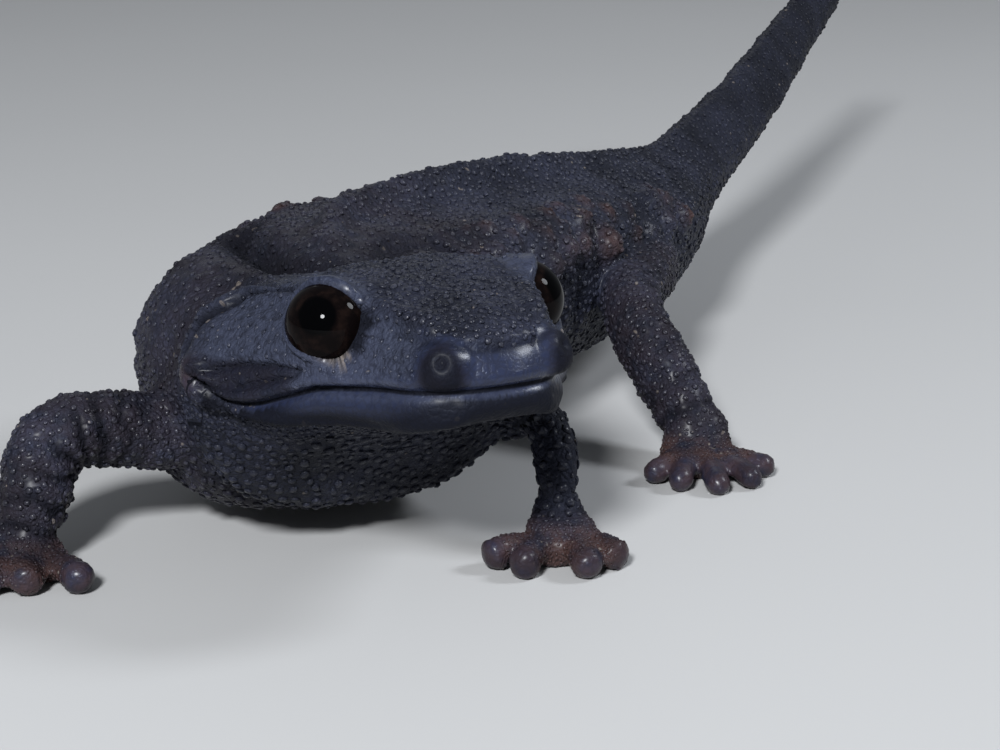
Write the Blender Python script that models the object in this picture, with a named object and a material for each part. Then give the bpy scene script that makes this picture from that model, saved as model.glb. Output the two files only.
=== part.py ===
# Anderson's crocodile newt, a still figure standing alert with its head turned.
# Sizes here are millimetres and become metres as each mesh is made. Z is up,
# Y runs from the head toward the tail and X toward the animal's left side.
import math
import random

import bmesh
import bpy
import numpy as np

MM = 0.001
GAP = 0.3
LIMB_CLEARANCE = 0.35

# Head: where it is, which way it looks, and the landmarks measured on it.
EYE_MIDPOINT = (-0.29, -0.35, 14.79)
HEAD_YAW = math.radians(29.0)
HEAD_PITCH = math.radians(6.0)
HEAD_LENGTH = 17.5
EYE_RADIUS = 2.05
EYE_BACK = 8.2
EYE_OUT = 5.7
EYE_RISE = 2.05
EYE_LOOK = (0.71, 0.60, 0.38)
NOSTRIL = (1.9, 2.7, 0.45)
MOUTH_END = 15.4
KNOB = (15.7, 10.6, -0.7)

# The course of the body's axis behind the head, from nape to tail tip.
SPINE = [
    (-6.0, 10.7, 11.3),
    (-6.4, 13.8, 10.9),
    (-6.0, 16.9, 10.7),
    (-4.7, 19.9, 10.5),
    (-1.0, 25.8, 10.1),
    (3.2, 32.3, 9.8),
    (7.3, 38.8, 9.2),
    (10.8, 45.0, 8.8),
    (13.5, 50.6, 8.8),
    (15.7, 56.2, 9.4),
    (19.2, 65.2, 10.8),
    (23.1, 75.6, 12.7),
    (28.2, 90.6, 15.4),
    (32.0, 101.6, 17.2),
    (35.8, 113.0, 18.8),
]

# Sizes along the axis, each as (distance from the snout tip, millimetres).
HALF_WIDTH = [(0, 4.3), (2, 4.7), (4, 5.3), (6, 6.4), (8.6, 7.9), (12, 9.5), (15, 10.5), (16.4, 10.3),
              (18, 9.2), (20, 8.6), (23, 8.8), (28, 9.1), (36, 8.7), (44, 7.5), (52, 6.5), (58, 5.9),
              (64, 5.1), (68, 4.2), (73, 3.3), (82, 2.8), (96, 2.4), (112, 1.8), (126, 1.1), (132.8, 0.5)]
TOP = [(0, 2.2), (2, 2.6), (4, 3.1), (6, 3.6), (8.6, 4.0), (12, 4.1), (15, 3.8), (17.5, 3.6), (20, 4.2),
       (23, 4.8), (27, 5.2), (34, 5.4), (44, 5.3), (54, 5.0), (62, 4.5), (68, 3.8), (76, 3.3),
       (90, 2.9), (110, 2.4), (126, 1.6), (132.8, 0.7)]
BOTTOM = [(0, 2.1), (2, 2.7), (4, 3.2), (6, 3.7), (8.6, 4.5), (12, 6.4), (15, 8.5), (18, 9.8), (22, 9.7),
          (28, 8.8), (36, 7.8), (44, 7.1), (52, 6.6), (60, 5.7), (66, 4.7), (70, 3.8), (76, 3.1),
          (90, 2.7), (110, 2.3), (126, 1.5), (132.8, 0.7)]
WIDEST = [(0, -0.7), (4, -0.7), (8, -0.75), (9.2, -0.9), (10.6, -1.6), (12, -1.95), (13.5, -1.9),
          (15, -1.4), (16.5, -1.1), (18, -1.2), (23, -1.0), (30, 0.2), (50, 0.4), (66, 0.3), (76, 0.0),
          (133, 0.0)]
BOXINESS = [(0, 2.1), (6, 2.4), (12, 2.7), (16, 2.6), (22, 2.3), (32, 2.4), (56, 2.3), (68, 2.0),
            (78, 1.75), (133, 1.7)]
LOWER_BOXINESS = [(0, 2.1), (8, 2.1), (14, 2.1), (18, 2.8), (21, 3.5), (26, 3.4), (34, 2.8), (56, 2.4),
                  (68, 2.0), (78, 1.75), (133, 1.7)]
RIDGE_HEIGHT = [(0, 0), (17, 0.0), (21, 0.5), (26, 1.0), (60, 0.95), (70, 0.6), (84, 0.45), (110, 0.35),
                (133, 0.1)]
RIDGE_WIDTH = 0.95
SNOUT_ROUNDING = 3.2
SNOUT_OVERHANG = 0.45
TAIL_TIP = 132.8

# Forms that stand out from the plain body or sink into it: heights, widths and the levels they lie at.
MOUTH_GROOVE = dict(depth=0.44, width=0.26)
UPPER_LIP = dict(height=0.18, width=0.5, level=0.75)
REAR_LIP = dict(height=0.42, width=0.55, level=0.55, place=12.3, length=2.4)
LOWER_LIP = dict(height=0.16, width=0.7, level=-0.9)
JAW_EDGE = dict(setback=0.75, level=-2.6, softness=0.35)
HEAD_RIDGE = [(2.6, 2.7), (5.5, 4.2), (8.6, 4.9), (12, 5.6), (15.5, 6.4)]
HEAD_RIDGE_SIZE = dict(height=0.45, width=0.7)
CROWN = dict(height=0.26, front=4.6, side=3.9, softness=0.5, crest=0.22, crest_width=0.8)
BROW = dict(height=0.6, width=2.0, place=8.4, side=5.0)
NOSTRIL_SWELLING = dict(height=0.6, width=1.15)
KNOB_SWELLING = dict(height=0.7, width=1.15)
SHOULDER = dict(place=23.0, level=-1.5, width=4.5, right=2.1, left=0.4)
CHEST = dict(place=23.0, level=-7.5, width=3.2, right=1.3, left=0.2)
BACK_HOLLOW = dict(depth=0.4, side=3.5, width=1.7)
RIB_SWELL = dict(height=0.3, level=0.6, width=4.2, step=3.2, first=28.0)
THROAT_FOLD = dict(depth=0.4, place=18.8, width=0.8)
TAIL_KEEL = dict(height=0.3, width=0.9)

# Where the body is parted into its nodes, measured along the axis.
BODY_NODES = [("head", 0.0, 17.5), ("neck", 17.5, 22.5), ("torso_front", 22.5, 43.0),
              ("torso_rear", 43.0, 67.0), ("tail_base", 67.0, 88.0), ("tail_mid", 88.0, 111.0),
              ("tail_tip", 111.0, TAIL_TIP)]
ROW_STEP = {"head": 0.78, "neck": 1.0, "torso_front": 1.2, "torso_rear": 1.3, "tail_base": 1.9,
            "tail_mid": 2.4, "tail_tip": 2.7}
COLUMNS = {"head": 44, "neck": 30, "torso_front": 30, "torso_rear": 30, "tail_base": 18, "tail_mid": 16,
           "tail_tip": 14}

# Rib knobs: one bold row on the flank and two finer rows above it.
KNOB_ROWS = [dict(first=28.0, last=63.0, step=3.2, angle=14.0, size=1.15, rise=0.7),
             dict(first=29.5, last=61.0, step=3.2, angle=33.0, size=0.9, rise=0.5),
             dict(first=31.0, last=59.0, step=3.3, angle=48.0, size=0.65, rise=0.25)]

# Limbs: the course of each and its half width at shoulder, middle, elbow, lower middle and wrist.
FORE_RADII = [2.8, 2.1, 2.0, 2.05, 1.6]
HIND_RADII = [3.0, 2.35, 1.85, 1.95, 1.7]
LIMBS = {
    "fore_right": dict(path=[(-8.0, 10.4, 6.8), (-13.0, 7.8, 5.8), (-20.9, 3.9, 7.4), (-21.9, 1.5, 2.3)],
                       radii=FORE_RADII, nodes=("upper_arm", "forearm")),
    "fore_left": dict(path=[(-2.6, 14.6, 7.4), (1.8, 12.4, 6.6), (6.2, 7.0, 7.2), (6.5, 4.2, 2.3)],
                      radii=FORE_RADII, nodes=("upper_arm", "forearm")),
    "hind_left": dict(path=[(9.4, 43.4, 8.4), (13.0, 39.0, 8.0), (11.1, 26.3, 8.3), (14.9, 20.4, 2.4)],
                      radii=HIND_RADII, nodes=("thigh", "shank")),
    "hind_right": dict(path=[(10.4, 45.6, 8.4), (5.8, 49.6, 7.8), (-2.4, 55.2, 8.0), (-4.4, 63.0, 2.4)],
                       radii=HIND_RADII, nodes=("thigh", "shank")),
}
ELBOW_ROUNDING = 3.3
LIMB_OVAL = (1.03, 0.97)
LIMB_COLUMNS = 14
LIMB_POINTS = 80
LIMB_ROWS = 9

# The ring of lid around each eye: its facets, its thickness, and how much more there is of it above.
LID_STEPS = 18
LID_SIDES = 6
LID = dict(thick=0.42, forward=0.45, ring=2.22, above=0.09)
NOSTRIL_PIT = dict(ahead=0.8, out=0.75, up=0.2, radii=(0.36, 0.44, 0.9))

# Each palm: how far it drops below the wrist, its two lower levels and its thickness toward the digits.
PALM = dict(drop=0.6, bend=1.2, bend_level=1.15, end_level=0.6, thick=(1.35, 0.95, 0.6), end_width=1.5,
            spread=1.5)
DIGIT_PROFILE = [(0.0, 0.92), (0.35, 0.9), (0.65, 0.98), (0.85, 1.1), (0.95, 0.92), (1.0, 0.42)]
DIGIT_ROOT = dict(level=0.8, overlap=1.2, arch=0.25, tip_level=0.62)
PALM_ROWS = 7
PALM_COLUMNS = 12
DIGIT_COLUMNS = 8

# Hands and feet: heading of the middle digit (degrees from +X toward +Y) and each digit's splay, length.
RIGHT_FINGERS = [(38, 2.7), (5, 2.2), (-25, 2.45), (-56, 1.8)]
LEFT_FINGERS = [(68, 1.6), (34, 2.4), (-9, 2.5), (-37, 1.8)]
TOES = [(52, 1.8), (26, 2.9), (2, 3.6), (-22, 3.3), (-50, 2.0)]
FEET = {
    "fore_right": dict(node="hand", heading=-84, digits=RIGHT_FINGERS, palm=2.5, width=2.2, digit=0.84),
    "fore_left": dict(node="hand", heading=-80, digits=LEFT_FINGERS, palm=2.5, width=2.2, digit=0.84),
    "hind_left": dict(node="foot", heading=-78, digits=TOES, palm=3.6, width=2.5, digit=0.7),
    "hind_right": dict(node="foot", heading=178, digits=TOES, palm=3.6, width=2.5, digit=0.7),
}

SLATE = (0.018, 0.019, 0.026)
BROWN = (0.040, 0.028, 0.030)
EYE_BLACK = (0.006, 0.005, 0.005)


def smooth_curve(knots):
    """A smooth function through (place, value) pairs, by cubic Hermite pieces."""
    places, values = np.array(knots, dtype=float).T
    slopes = np.gradient(values, places)

    def value_at(x):
        x = np.clip(x, places[0], places[-1])
        i = np.clip(np.searchsorted(places, x, side="right") - 1, 0, len(places) - 2)
        span = places[i + 1] - places[i]
        t = (x - places[i]) / span
        rise = values[i + 1] - values[i]
        bend_in = slopes[i] * span - rise
        bend_out = rise - slopes[i + 1] * span
        return values[i] + t * rise + t * (1 - t) * ((1 - t) * bend_in + t * bend_out)

    return value_at


def unit(v):
    return v / np.linalg.norm(v, axis=-1, keepdims=True)


def distances_along(line):
    return np.concatenate([[0], np.cumsum(np.linalg.norm(np.diff(line, axis=0), axis=1))])


def bump(distance, width):
    return np.exp(-(distance / width) ** 2)


def step(x, start, end):
    """0 before start and 1 after end, with a smooth rise between."""
    t = np.clip((x - start) / (end - start), 0, 1)
    return t * t * (3 - 2 * t)


# The head's own directions: forward, to its left, and up.
FORWARD = np.array([math.sin(HEAD_YAW) * math.cos(HEAD_PITCH), -math.cos(HEAD_YAW) * math.cos(HEAD_PITCH),
                    math.sin(HEAD_PITCH)])
LEFT = np.array([math.cos(HEAD_YAW), math.sin(HEAD_YAW), 0.0])
UP = np.cross(FORWARD, LEFT)
SNOUT = np.array(EYE_MIDPOINT) + EYE_BACK * FORWARD - EYE_RISE * UP


def head_point(back, out, rise):
    """World place of a point given from the snout tip in the head's directions."""
    return SNOUT - back * FORWARD + out * LEFT + rise * UP


class Axis:
    """A smooth line through points, read by distance along it, with its own directions."""

    def __init__(self, points):
        points = np.array(points, dtype=float)
        chords = distances_along(points)
        fine = np.linspace(0, chords[-1], 3000)
        curves = [smooth_curve(np.stack([chords, points[:, k]], axis=1)) for k in range(3)]
        line = np.stack([curve(fine) for curve in curves], axis=1)
        self.at = distances_along(line)
        self.line = line
        self.tangent = unit(np.gradient(line, axis=0))

    def point(self, s):
        s = np.asarray(s, dtype=float)
        return np.stack([np.interp(s, self.at, self.line[:, k]) for k in range(3)], axis=-1)

    def directions(self, s):
        """Backward, left and up at each distance, with up as near to vertical as it can be."""
        s = np.asarray(s, dtype=float)
        back = unit(np.stack([np.interp(s, self.at, self.tangent[:, k]) for k in range(3)], axis=-1))
        left = unit(np.cross(back, np.array([0.0, 0.0, 1.0])))
        return back, left, np.cross(left, back)


BODY_AXIS = Axis([head_point(s, 0, 0) for s in (0, 6, 12, HEAD_LENGTH)] + SPINE)

half_width = smooth_curve(HALF_WIDTH)
top_height = smooth_curve(TOP)
bottom_depth = smooth_curve(BOTTOM)
widest_level = smooth_curve(WIDEST)
boxiness = smooth_curve(BOXINESS)
lower_boxiness = smooth_curve(LOWER_BOXINESS)
ridge_height = smooth_curve(RIDGE_HEIGHT)


def body_section(s, angle):
    """Across and up from the axis: a superellipse, closing to a rounded snout."""
    blunt = np.clip(s / SNOUT_ROUNDING, 0, 1)
    close = (1 - (1 - blunt) ** 2.2) ** (1 / 2.2)
    c, h = np.cos(angle), np.sin(angle)
    power = 2 / np.where(h >= 0, boxiness(s), lower_boxiness(s))
    across = half_width(s) * close * np.sign(c) * np.abs(c) ** power
    level = widest_level(s)
    reach = np.where(h >= 0, top_height(s) - level, bottom_depth(s) + level) * close
    return across, level + reach * np.sign(h) * np.abs(h) ** power


def plain_body(s, angle):
    """The body's surface before its details."""
    across, rise = body_section(s, angle)
    back, left, up = BODY_AXIS.directions(s)
    forward = SNOUT_OVERHANG * bump(s, 2.5) * np.clip(np.sin(angle), 0, 1)
    return BODY_AXIS.point(s) + across[..., None] * left + rise[..., None] * up - forward[..., None] * back


def body_normal(s, angle):
    """Outward directions, from the slopes of the plain surface along and around."""
    e = 1e-3
    s = np.maximum(s, 0.02)
    along = plain_body(s + e, angle) - plain_body(s - e, angle)
    around = plain_body(s, angle + e) - plain_body(s, angle - e)
    return unit(np.cross(along, around))


def distance_to_line(x, y, points):
    """Distance from each (x, y) to a bent line through the points."""
    best = np.full(np.shape(x), 1e9)
    for (x0, y0), (x1, y1) in zip(points[:-1], points[1:]):
        dx, dy = x1 - x0, y1 - y0
        t = np.clip(((x - x0) * dx + (y - y0) * dy) / (dx * dx + dy * dy), 0, 1)
        best = np.minimum(best, np.hypot(x - x0 - t * dx, y - y0 - t * dy))
    return best


def mouth_detail(s, over_mouth):
    """The mouth's groove between its two lips, with the fuller upper lip toward the corner."""
    length = 1 - step(s, MOUTH_END - 0.6, MOUTH_END + 0.4)
    d = -MOUTH_GROOVE["depth"] * bump(over_mouth, MOUTH_GROOVE["width"])
    for lip in (UPPER_LIP, LOWER_LIP):
        d += lip["height"] * bump(over_mouth - lip["level"], lip["width"])
    rear = bump(over_mouth - REAR_LIP["level"], REAR_LIP["width"])
    rear = rear * bump(s - REAR_LIP["place"], REAR_LIP["length"])
    return (d + REAR_LIP["height"] * rear) * length


def head_detail(s, side, rise, upper):
    """Jaw edge, crown and its ridges, brows, nostril swellings and the knobs at the mouth's corners."""
    head = 1 - step(s, 16.0, HEAD_LENGTH)
    soft = JAW_EDGE["softness"]
    below = step(JAW_EDGE["level"] - rise, -soft, soft)
    d = -JAW_EDGE["setback"] * below * step(s, 0.5, 3.0) * (1 - step(s, 13.5, 17.0))
    ridge = bump(distance_to_line(s, side, HEAD_RIDGE), HEAD_RIDGE_SIZE["width"]) * step(rise, 0.5, 2.0)
    soft = CROWN["softness"]
    crown = step(s, CROWN["front"] - soft, CROWN["front"] + soft) * (
        1 - step(side, CROWN["side"] - soft, CROWN["side"] + soft))
    crest = bump(side, CROWN["crest_width"]) * step(s, 7.0, 10.0)
    d += (HEAD_RIDGE_SIZE["height"] * ridge + CROWN["height"] * crown + CROWN["crest"] * crest) * upper * head
    d += BROW["height"] * bump(np.hypot(s - BROW["place"], side - BROW["side"]), BROW["width"]) * upper
    for (place, out, level), swelling in ((NOSTRIL, NOSTRIL_SWELLING), (KNOB, KNOB_SWELLING)):
        distance = np.sqrt((s - place) ** 2 + (side - out) ** 2 + (rise - level) ** 2)
        d += swelling["height"] * bump(distance, swelling["width"])
    return d


def trunk_detail(s, across, rise, upper):
    """Shoulders, chest, vertebral ridge, hollows beside it, rib swells, throat fold and tail keels."""
    side = np.abs(across)
    fold = bump(s - THROAT_FOLD["place"], THROAT_FOLD["width"]) * (1 - step(rise, -4.5, -2.5))
    d = -THROAT_FOLD["depth"] * fold
    for swelling, start, end in ((SHOULDER, 4.0, 7.5), (CHEST, 2.5, 6.0)):
        near = bump(np.hypot(s - swelling["place"], rise - swelling["level"]), swelling["width"])
        d += near * step(side, start, end) * np.where(across < 0, swelling["right"], swelling["left"])
    trunk = step(s, 24.0, 29.0) * (1 - step(s, 60.0, 68.0))
    d += ridge_height(s) * bump(across, RIDGE_WIDTH) * upper
    d -= BACK_HOLLOW["depth"] * trunk * bump(side - BACK_HOLLOW["side"], BACK_HOLLOW["width"]) * upper
    flank = bump(rise - RIB_SWELL["level"], RIB_SWELL["width"]) * step(side, 4.5, 6.5)
    wave = np.cos(2 * math.pi * (s - RIB_SWELL["first"]) / RIB_SWELL["step"])
    d += RIB_SWELL["height"] * trunk * flank * wave
    return d + TAIL_KEEL["height"] * step(s, 70.0, 76.0) * bump(across, TAIL_KEEL["width"]) * (1 - upper)


def body_detail(s, angle):
    """How far the surface stands out from the plain one."""
    across, rise = body_section(s, angle)
    over_mouth = rise - widest_level(s)
    upper = np.where(over_mouth > 0, 1.0, 0.0)
    side = np.abs(across)
    head = mouth_detail(s, over_mouth) + head_detail(s, side, rise, upper)
    return head + trunk_detail(s, across, rise, upper)


def body_surface(s, angle, swell=0.0):
    """The finished surface, or one that stands out from it by swell."""
    lift = body_detail(s, angle) + swell
    return plain_body(s, angle) + lift[..., None] * body_normal(s, angle)


def column_angles(count):
    """Angles around a section, closer together beside the mouth's two levels."""
    turn = np.arange(count) * 2 * math.pi / count
    return turn - 0.42 * np.sin(2 * turn) * (count >= 44)


def new_object(name, mesh, collection, color=None, roughness=0.5):
    for polygon in mesh.polygons:
        polygon.use_smooth = True
    obj = bpy.data.objects.new(name, mesh)
    collection.objects.link(obj)
    if color is not None:
        material = bpy.data.materials.new(name + "_skin")
        material.use_nodes = True
        shader = material.node_tree.nodes["Principled BSDF"]
        shader.inputs["Base Color"].default_value = (*color, 1.0)
        shader.inputs["Roughness"].default_value = roughness
        shader.inputs["Metallic"].default_value = 0.0
        mesh.materials.append(material)
    return obj


def loft_mesh(name, rows):
    """A closed tube through rows of points; a row of one point is a pole, and other ends are flat."""
    vertices, faces, starts = [], [], []
    for row in rows:
        starts.append(len(vertices))
        vertices.extend(np.asarray(row) * MM)
    counts = [len(row) for row in rows]
    n = max(counts)
    for i in range(len(rows) - 1):
        a, b = starts[i], starts[i + 1]
        for j in range(n):
            k = (j + 1) % n
            if counts[i] == 1:
                faces.append((a, b + j, b + k))
            elif counts[i + 1] == 1:
                faces.append((a + j, b, a + k))
            else:
                faces.append((a + j, b + j, b + k, a + k))
    if counts[0] > 1:
        faces.append(tuple(starts[0] + j for j in range(n)))
    if counts[-1] > 1:
        faces.append(tuple(starts[-1] + j for j in reversed(range(n))))
    mesh = bpy.data.meshes.new(name)
    mesh.from_pydata([tuple(v) for v in vertices], [], faces)
    bm = bmesh.new()
    bm.from_mesh(mesh)
    bmesh.ops.recalc_face_normals(bm, faces=bm.faces)
    bm.to_mesh(mesh)
    bm.free()
    return mesh


def body_rows(start, end, row_step, columns, swell=0.0):
    """Rows of the body between two cuts, each set back by half the gap, with a pole at either tip."""
    angle = column_angles(columns)
    count = max(2, round((end - start) / row_step) + 1)
    places = np.linspace(start, end, count)
    if start <= 0.0:
        places = start + (end - start) * np.linspace(0, 1, count + 5) ** 1.35
    rows = [body_surface(np.full(columns, s), angle, swell) for s in places]
    if start <= 0.0:
        rows[0] = rows[0].mean(axis=0, keepdims=True)
    else:
        rows[0] = rows[0] + 0.5 * GAP * BODY_AXIS.directions(start)[0]
    if end >= TAIL_TIP:
        rows.append(BODY_AXIS.point(np.array([TAIL_TIP + 0.5])))
    else:
        rows[-1] = rows[-1] - 0.5 * GAP * BODY_AXIS.directions(end)[0]
    return rows


def keep_largest(obj):
    """Drop every closed surface of the mesh but the one with the most faces."""
    bm = bmesh.new()
    bm.from_mesh(obj.data)
    left = set(bm.faces)
    groups = []
    while left:
        group, front = set(), [left.pop()]
        while front:
            face = front.pop()
            group.add(face)
            for edge in face.edges:
                for other in edge.link_faces:
                    if other in left:
                        left.remove(other)
                        front.append(other)
        groups.append(group)
    biggest = max(groups, key=len)
    spare = [face for group in groups if group is not biggest for face in group]
    bmesh.ops.delete(bm, geom=spare, context="FACES")
    bmesh.ops.dissolve_degenerate(bm, dist=1e-7, edges=bm.edges)
    bm.to_mesh(obj.data)
    bm.free()


def apply_boolean(obj, operation, others, solver="MANIFOLD"):
    """Join the others to the object, or cut them from it, and apply the result."""
    holder = bpy.data.collections.new(obj.name + "_" + operation.lower())
    bpy.context.scene.collection.children.link(holder)
    for other in others:
        for owner in list(other.users_collection):
            owner.objects.unlink(other)
        holder.objects.link(other)
    modifier = obj.modifiers.new(operation.lower(), "BOOLEAN")
    modifier.operation = operation
    modifier.solver = solver
    modifier.operand_type = "COLLECTION"
    modifier.collection = holder
    graph = bpy.context.evaluated_depsgraph_get()
    joined = bpy.data.meshes.new_from_object(obj.evaluated_get(graph))
    obj.modifiers.remove(modifier)
    obj.data = joined
    for other in list(holder.objects):
        bpy.data.objects.remove(other)
    bpy.data.collections.remove(holder)
    keep_largest(obj)


def ball(name, collection, center, radii, axis, segments=10, rings=6):
    """A ball squashed along its axis, as a helper to be joined or cut away."""
    mesh = bpy.data.meshes.new(name)
    bm = bmesh.new()
    bmesh.ops.create_uvsphere(bm, u_segments=segments, v_segments=rings, radius=1.0)
    bm.to_mesh(mesh)
    bm.free()
    xyz = np.array([v.co for v in mesh.vertices])
    axis = unit(np.asarray(axis, dtype=float))
    side = unit(np.cross(axis, np.array([0.31, 0.17, 0.93])))
    other = np.cross(axis, side)
    placed = xyz[:, :1] * side * radii[0] + xyz[:, 1:2] * other * radii[1] + xyz[:, 2:] * axis * radii[2]
    mesh.vertices.foreach_set("co", ((placed + np.asarray(center)) * MM).ravel())
    return new_object(name, mesh, collection)


def body_place(s, angle):
    """Surface point and outward direction at one distance and angle."""
    s, angle = np.array([s]), np.array([angle])
    return body_surface(s, angle)[0], body_normal(s, angle)[0]


def eye_center(side):
    return head_point(EYE_BACK, side * EYE_OUT, EYE_RISE)


def eye_axis(side):
    return unit(EYE_LOOK[0] * FORWARD + side * EYE_LOOK[1] * LEFT + EYE_LOOK[2] * UP)


def lid(side, collection):
    """A ring of lid around the eyeball, thicker above than below."""
    axis = eye_axis(side)
    upward = unit(UP - (UP @ axis) * axis)
    across = np.cross(axis, upward)
    around = np.linspace(0, 2 * math.pi, LID_STEPS, endpoint=False)
    rows = []
    for t in around:
        outward = math.cos(t) * upward + math.sin(t) * across
        more = LID["above"] * math.cos(t)
        thick = LID["thick"] + more
        middle = eye_center(side) + axis * (LID["forward"] + more) + outward * LID["ring"]
        turn = np.linspace(0, 2 * math.pi, LID_SIDES, endpoint=False)
        rows.append(middle + thick * (np.cos(turn)[:, None] * outward + np.sin(turn)[:, None] * axis))
    vertices = np.concatenate(rows) * MM
    faces = []
    for i in range(LID_STEPS):
        for j in range(LID_SIDES):
            a, b = i * LID_SIDES, ((i + 1) % LID_STEPS) * LID_SIDES
            k = (j + 1) % LID_SIDES
            faces.append((a + j, a + k, b + k, b + j))
    mesh = bpy.data.meshes.new("lid")
    mesh.from_pydata([tuple(v) for v in vertices], [], faces)
    bm = bmesh.new()
    bm.from_mesh(mesh)
    bmesh.ops.recalc_face_normals(bm, faces=bm.faces)
    bm.to_mesh(mesh)
    bm.free()
    return new_object("lid", mesh, collection)


def limb_course(points):
    """The limb's line with its corners rounded, as evenly spaced points."""
    points = [np.array(p, dtype=float) for p in points]
    line = [points[0]]
    for before, corner, after in zip(points[:-2], points[1:-1], points[2:]):
        reach_in = min(ELBOW_ROUNDING, 0.48 * np.linalg.norm(corner - before))
        reach_out = min(ELBOW_ROUNDING, 0.48 * np.linalg.norm(after - corner))
        start = corner + unit(before - corner) * reach_in
        end = corner + unit(after - corner) * reach_out
        for t in np.linspace(0, 1, 12):
            line.append((1 - t) ** 2 * start + 2 * t * (1 - t) * corner + t * t * end)
    line = np.array(line + [points[-1]])
    lengths = distances_along(line)
    even = np.linspace(0, lengths[-1], LIMB_POINTS)
    return np.stack([np.interp(even, lengths, line[:, k]) for k in range(3)], axis=1)


def tube_rows(line, places, widths, thicks, columns, flat_way):
    """Oval rows across a line at the given shares of its length."""
    lengths = distances_along(line)
    rows = []
    turn = np.linspace(0, 2 * math.pi, columns, endpoint=False)
    side = np.asarray(flat_way, dtype=float)
    for share, wide, thick in zip(places, widths, thicks):
        s = share * lengths[-1]
        here = np.array([np.interp(s, lengths, line[:, k]) for k in range(3)])
        e = 0.02 * lengths[-1]
        low, high = max(s - e, 0), min(s + e, lengths[-1])
        ahead = np.array([np.interp(high, lengths, line[:, k]) - np.interp(low, lengths, line[:, k])
                          for k in range(3)])
        ahead = unit(ahead)
        side = unit(side - (side @ ahead) * ahead)
        other = np.cross(ahead, side)
        rows.append(here + wide * np.cos(turn)[:, None] * side + thick * np.sin(turn)[:, None] * other)
    return rows


def limb_shape(limb):
    """The limb's line, its length, the share of it at the elbow, and its half width along it."""
    spec = LIMBS[limb]
    line = limb_course(spec["path"])
    corner = np.array(spec["path"][2], dtype=float)
    elbow = np.argmin(np.linalg.norm(line - corner, axis=1)) / (LIMB_POINTS - 1)
    radius = smooth_curve(list(zip([0.0, 0.5 * elbow, elbow, 0.5 + 0.5 * elbow, 1.0], spec["radii"])))
    return dict(line=line, length=distances_along(line)[-1], elbow=elbow, radius=radius)


def limb_rows(limb, start, end, count, swell=0.0):
    """Oval rows of the limb between two shares of its length."""
    shape = limb_shape(limb)
    places = np.linspace(start, end, count)
    wide, thick = (shape["radius"](places) * share + swell for share in LIMB_OVAL)
    return tube_rows(shape["line"], places, wide, thick, LIMB_COLUMNS, (0.3, 0.2, 1.0))


def clear_of_limbs(place, size):
    """Whether a knob of this size at this place stays off every limb."""
    for limb in LIMBS:
        shape = limb_shape(limb)
        thickness = shape["radius"](np.linspace(0, 1, LIMB_POINTS))
        if np.min(np.linalg.norm(shape["line"] - place, axis=1) - thickness) < size + GAP:
            return False
    return True


def rib_knobs(node_start, node_end, collection, rng):
    """The knobs of both rows, both sides, that stand on one length of the trunk."""
    knobs = []
    for row in KNOB_ROWS:
        for side in (0, 1):
            s = row["first"] + side * 0.4
            while s < row["last"]:
                size = row["size"] * rng.uniform(0.82, 1.15)
                angle = math.radians(row["angle"] + rng.uniform(-3, 3))
                place, normal = body_place(s, math.pi - angle if side else angle)
                inside = node_start + size + GAP < s < node_end - size - GAP
                if inside and clear_of_limbs(place, size):
                    center = place + (row["rise"] - 0.85 * size) * normal
                    radii = size * np.array([1.1, 1.0, 0.95])
                    knobs.append(ball("knob", collection, center, radii, normal, 8, 5))
                s += row["step"] * rng.uniform(0.9, 1.1)
    return knobs


def make_limb(limb, collection, cutters):
    """Upper and lower length of one limb, the upper one cut back from the body."""
    spec = LIMBS[limb]
    shape = limb_shape(limb)
    elbow, gap = shape["elbow"], 0.5 * GAP / shape["length"]
    pair = []
    for name, start, end in ((spec["nodes"][0], 0.0, elbow - gap), (spec["nodes"][1], elbow + gap, 1.0)):
        rows = limb_rows(limb, start, end, LIMB_ROWS)
        name = name + "_" + limb.split("_")[1]
        pair.append(new_object(name, loft_mesh(name, rows), collection, SLATE))
    apply_boolean(pair[0], "DIFFERENCE", [swollen_body(cutters)])


def swollen_body(collection):
    """Head, neck and trunk, larger all round by the gap that a limb keeps to them."""
    rows = body_rows(4.0, 72.0, 1.0, 36, LIMB_CLEARANCE)
    return new_object("body_clearance", loft_mesh("body_clearance", rows), collection)


def make_digit(knuckle, heading, length, radius, collection):
    """One digit from inside the palm to its rounded tip, as a helper to be joined on."""
    way = np.array([math.cos(heading), math.sin(heading), 0.0])
    reach = length + DIGIT_ROOT["overlap"]
    route = np.array([knuckle + (0, 0, DIGIT_ROOT["level"]),
                      knuckle + way * 0.5 * reach + (0, 0, radius + DIGIT_ROOT["arch"]),
                      knuckle + way * reach + (0, 0, radius * DIGIT_ROOT["tip_level"])])
    shares, sizes = np.array(DIGIT_PROFILE).T
    rows = tube_rows(smooth_line(route), shares, radius * sizes, radius * sizes, DIGIT_COLUMNS, (0, 0, 1))
    return new_object("digit", loft_mesh("digit", rows), collection)


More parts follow.
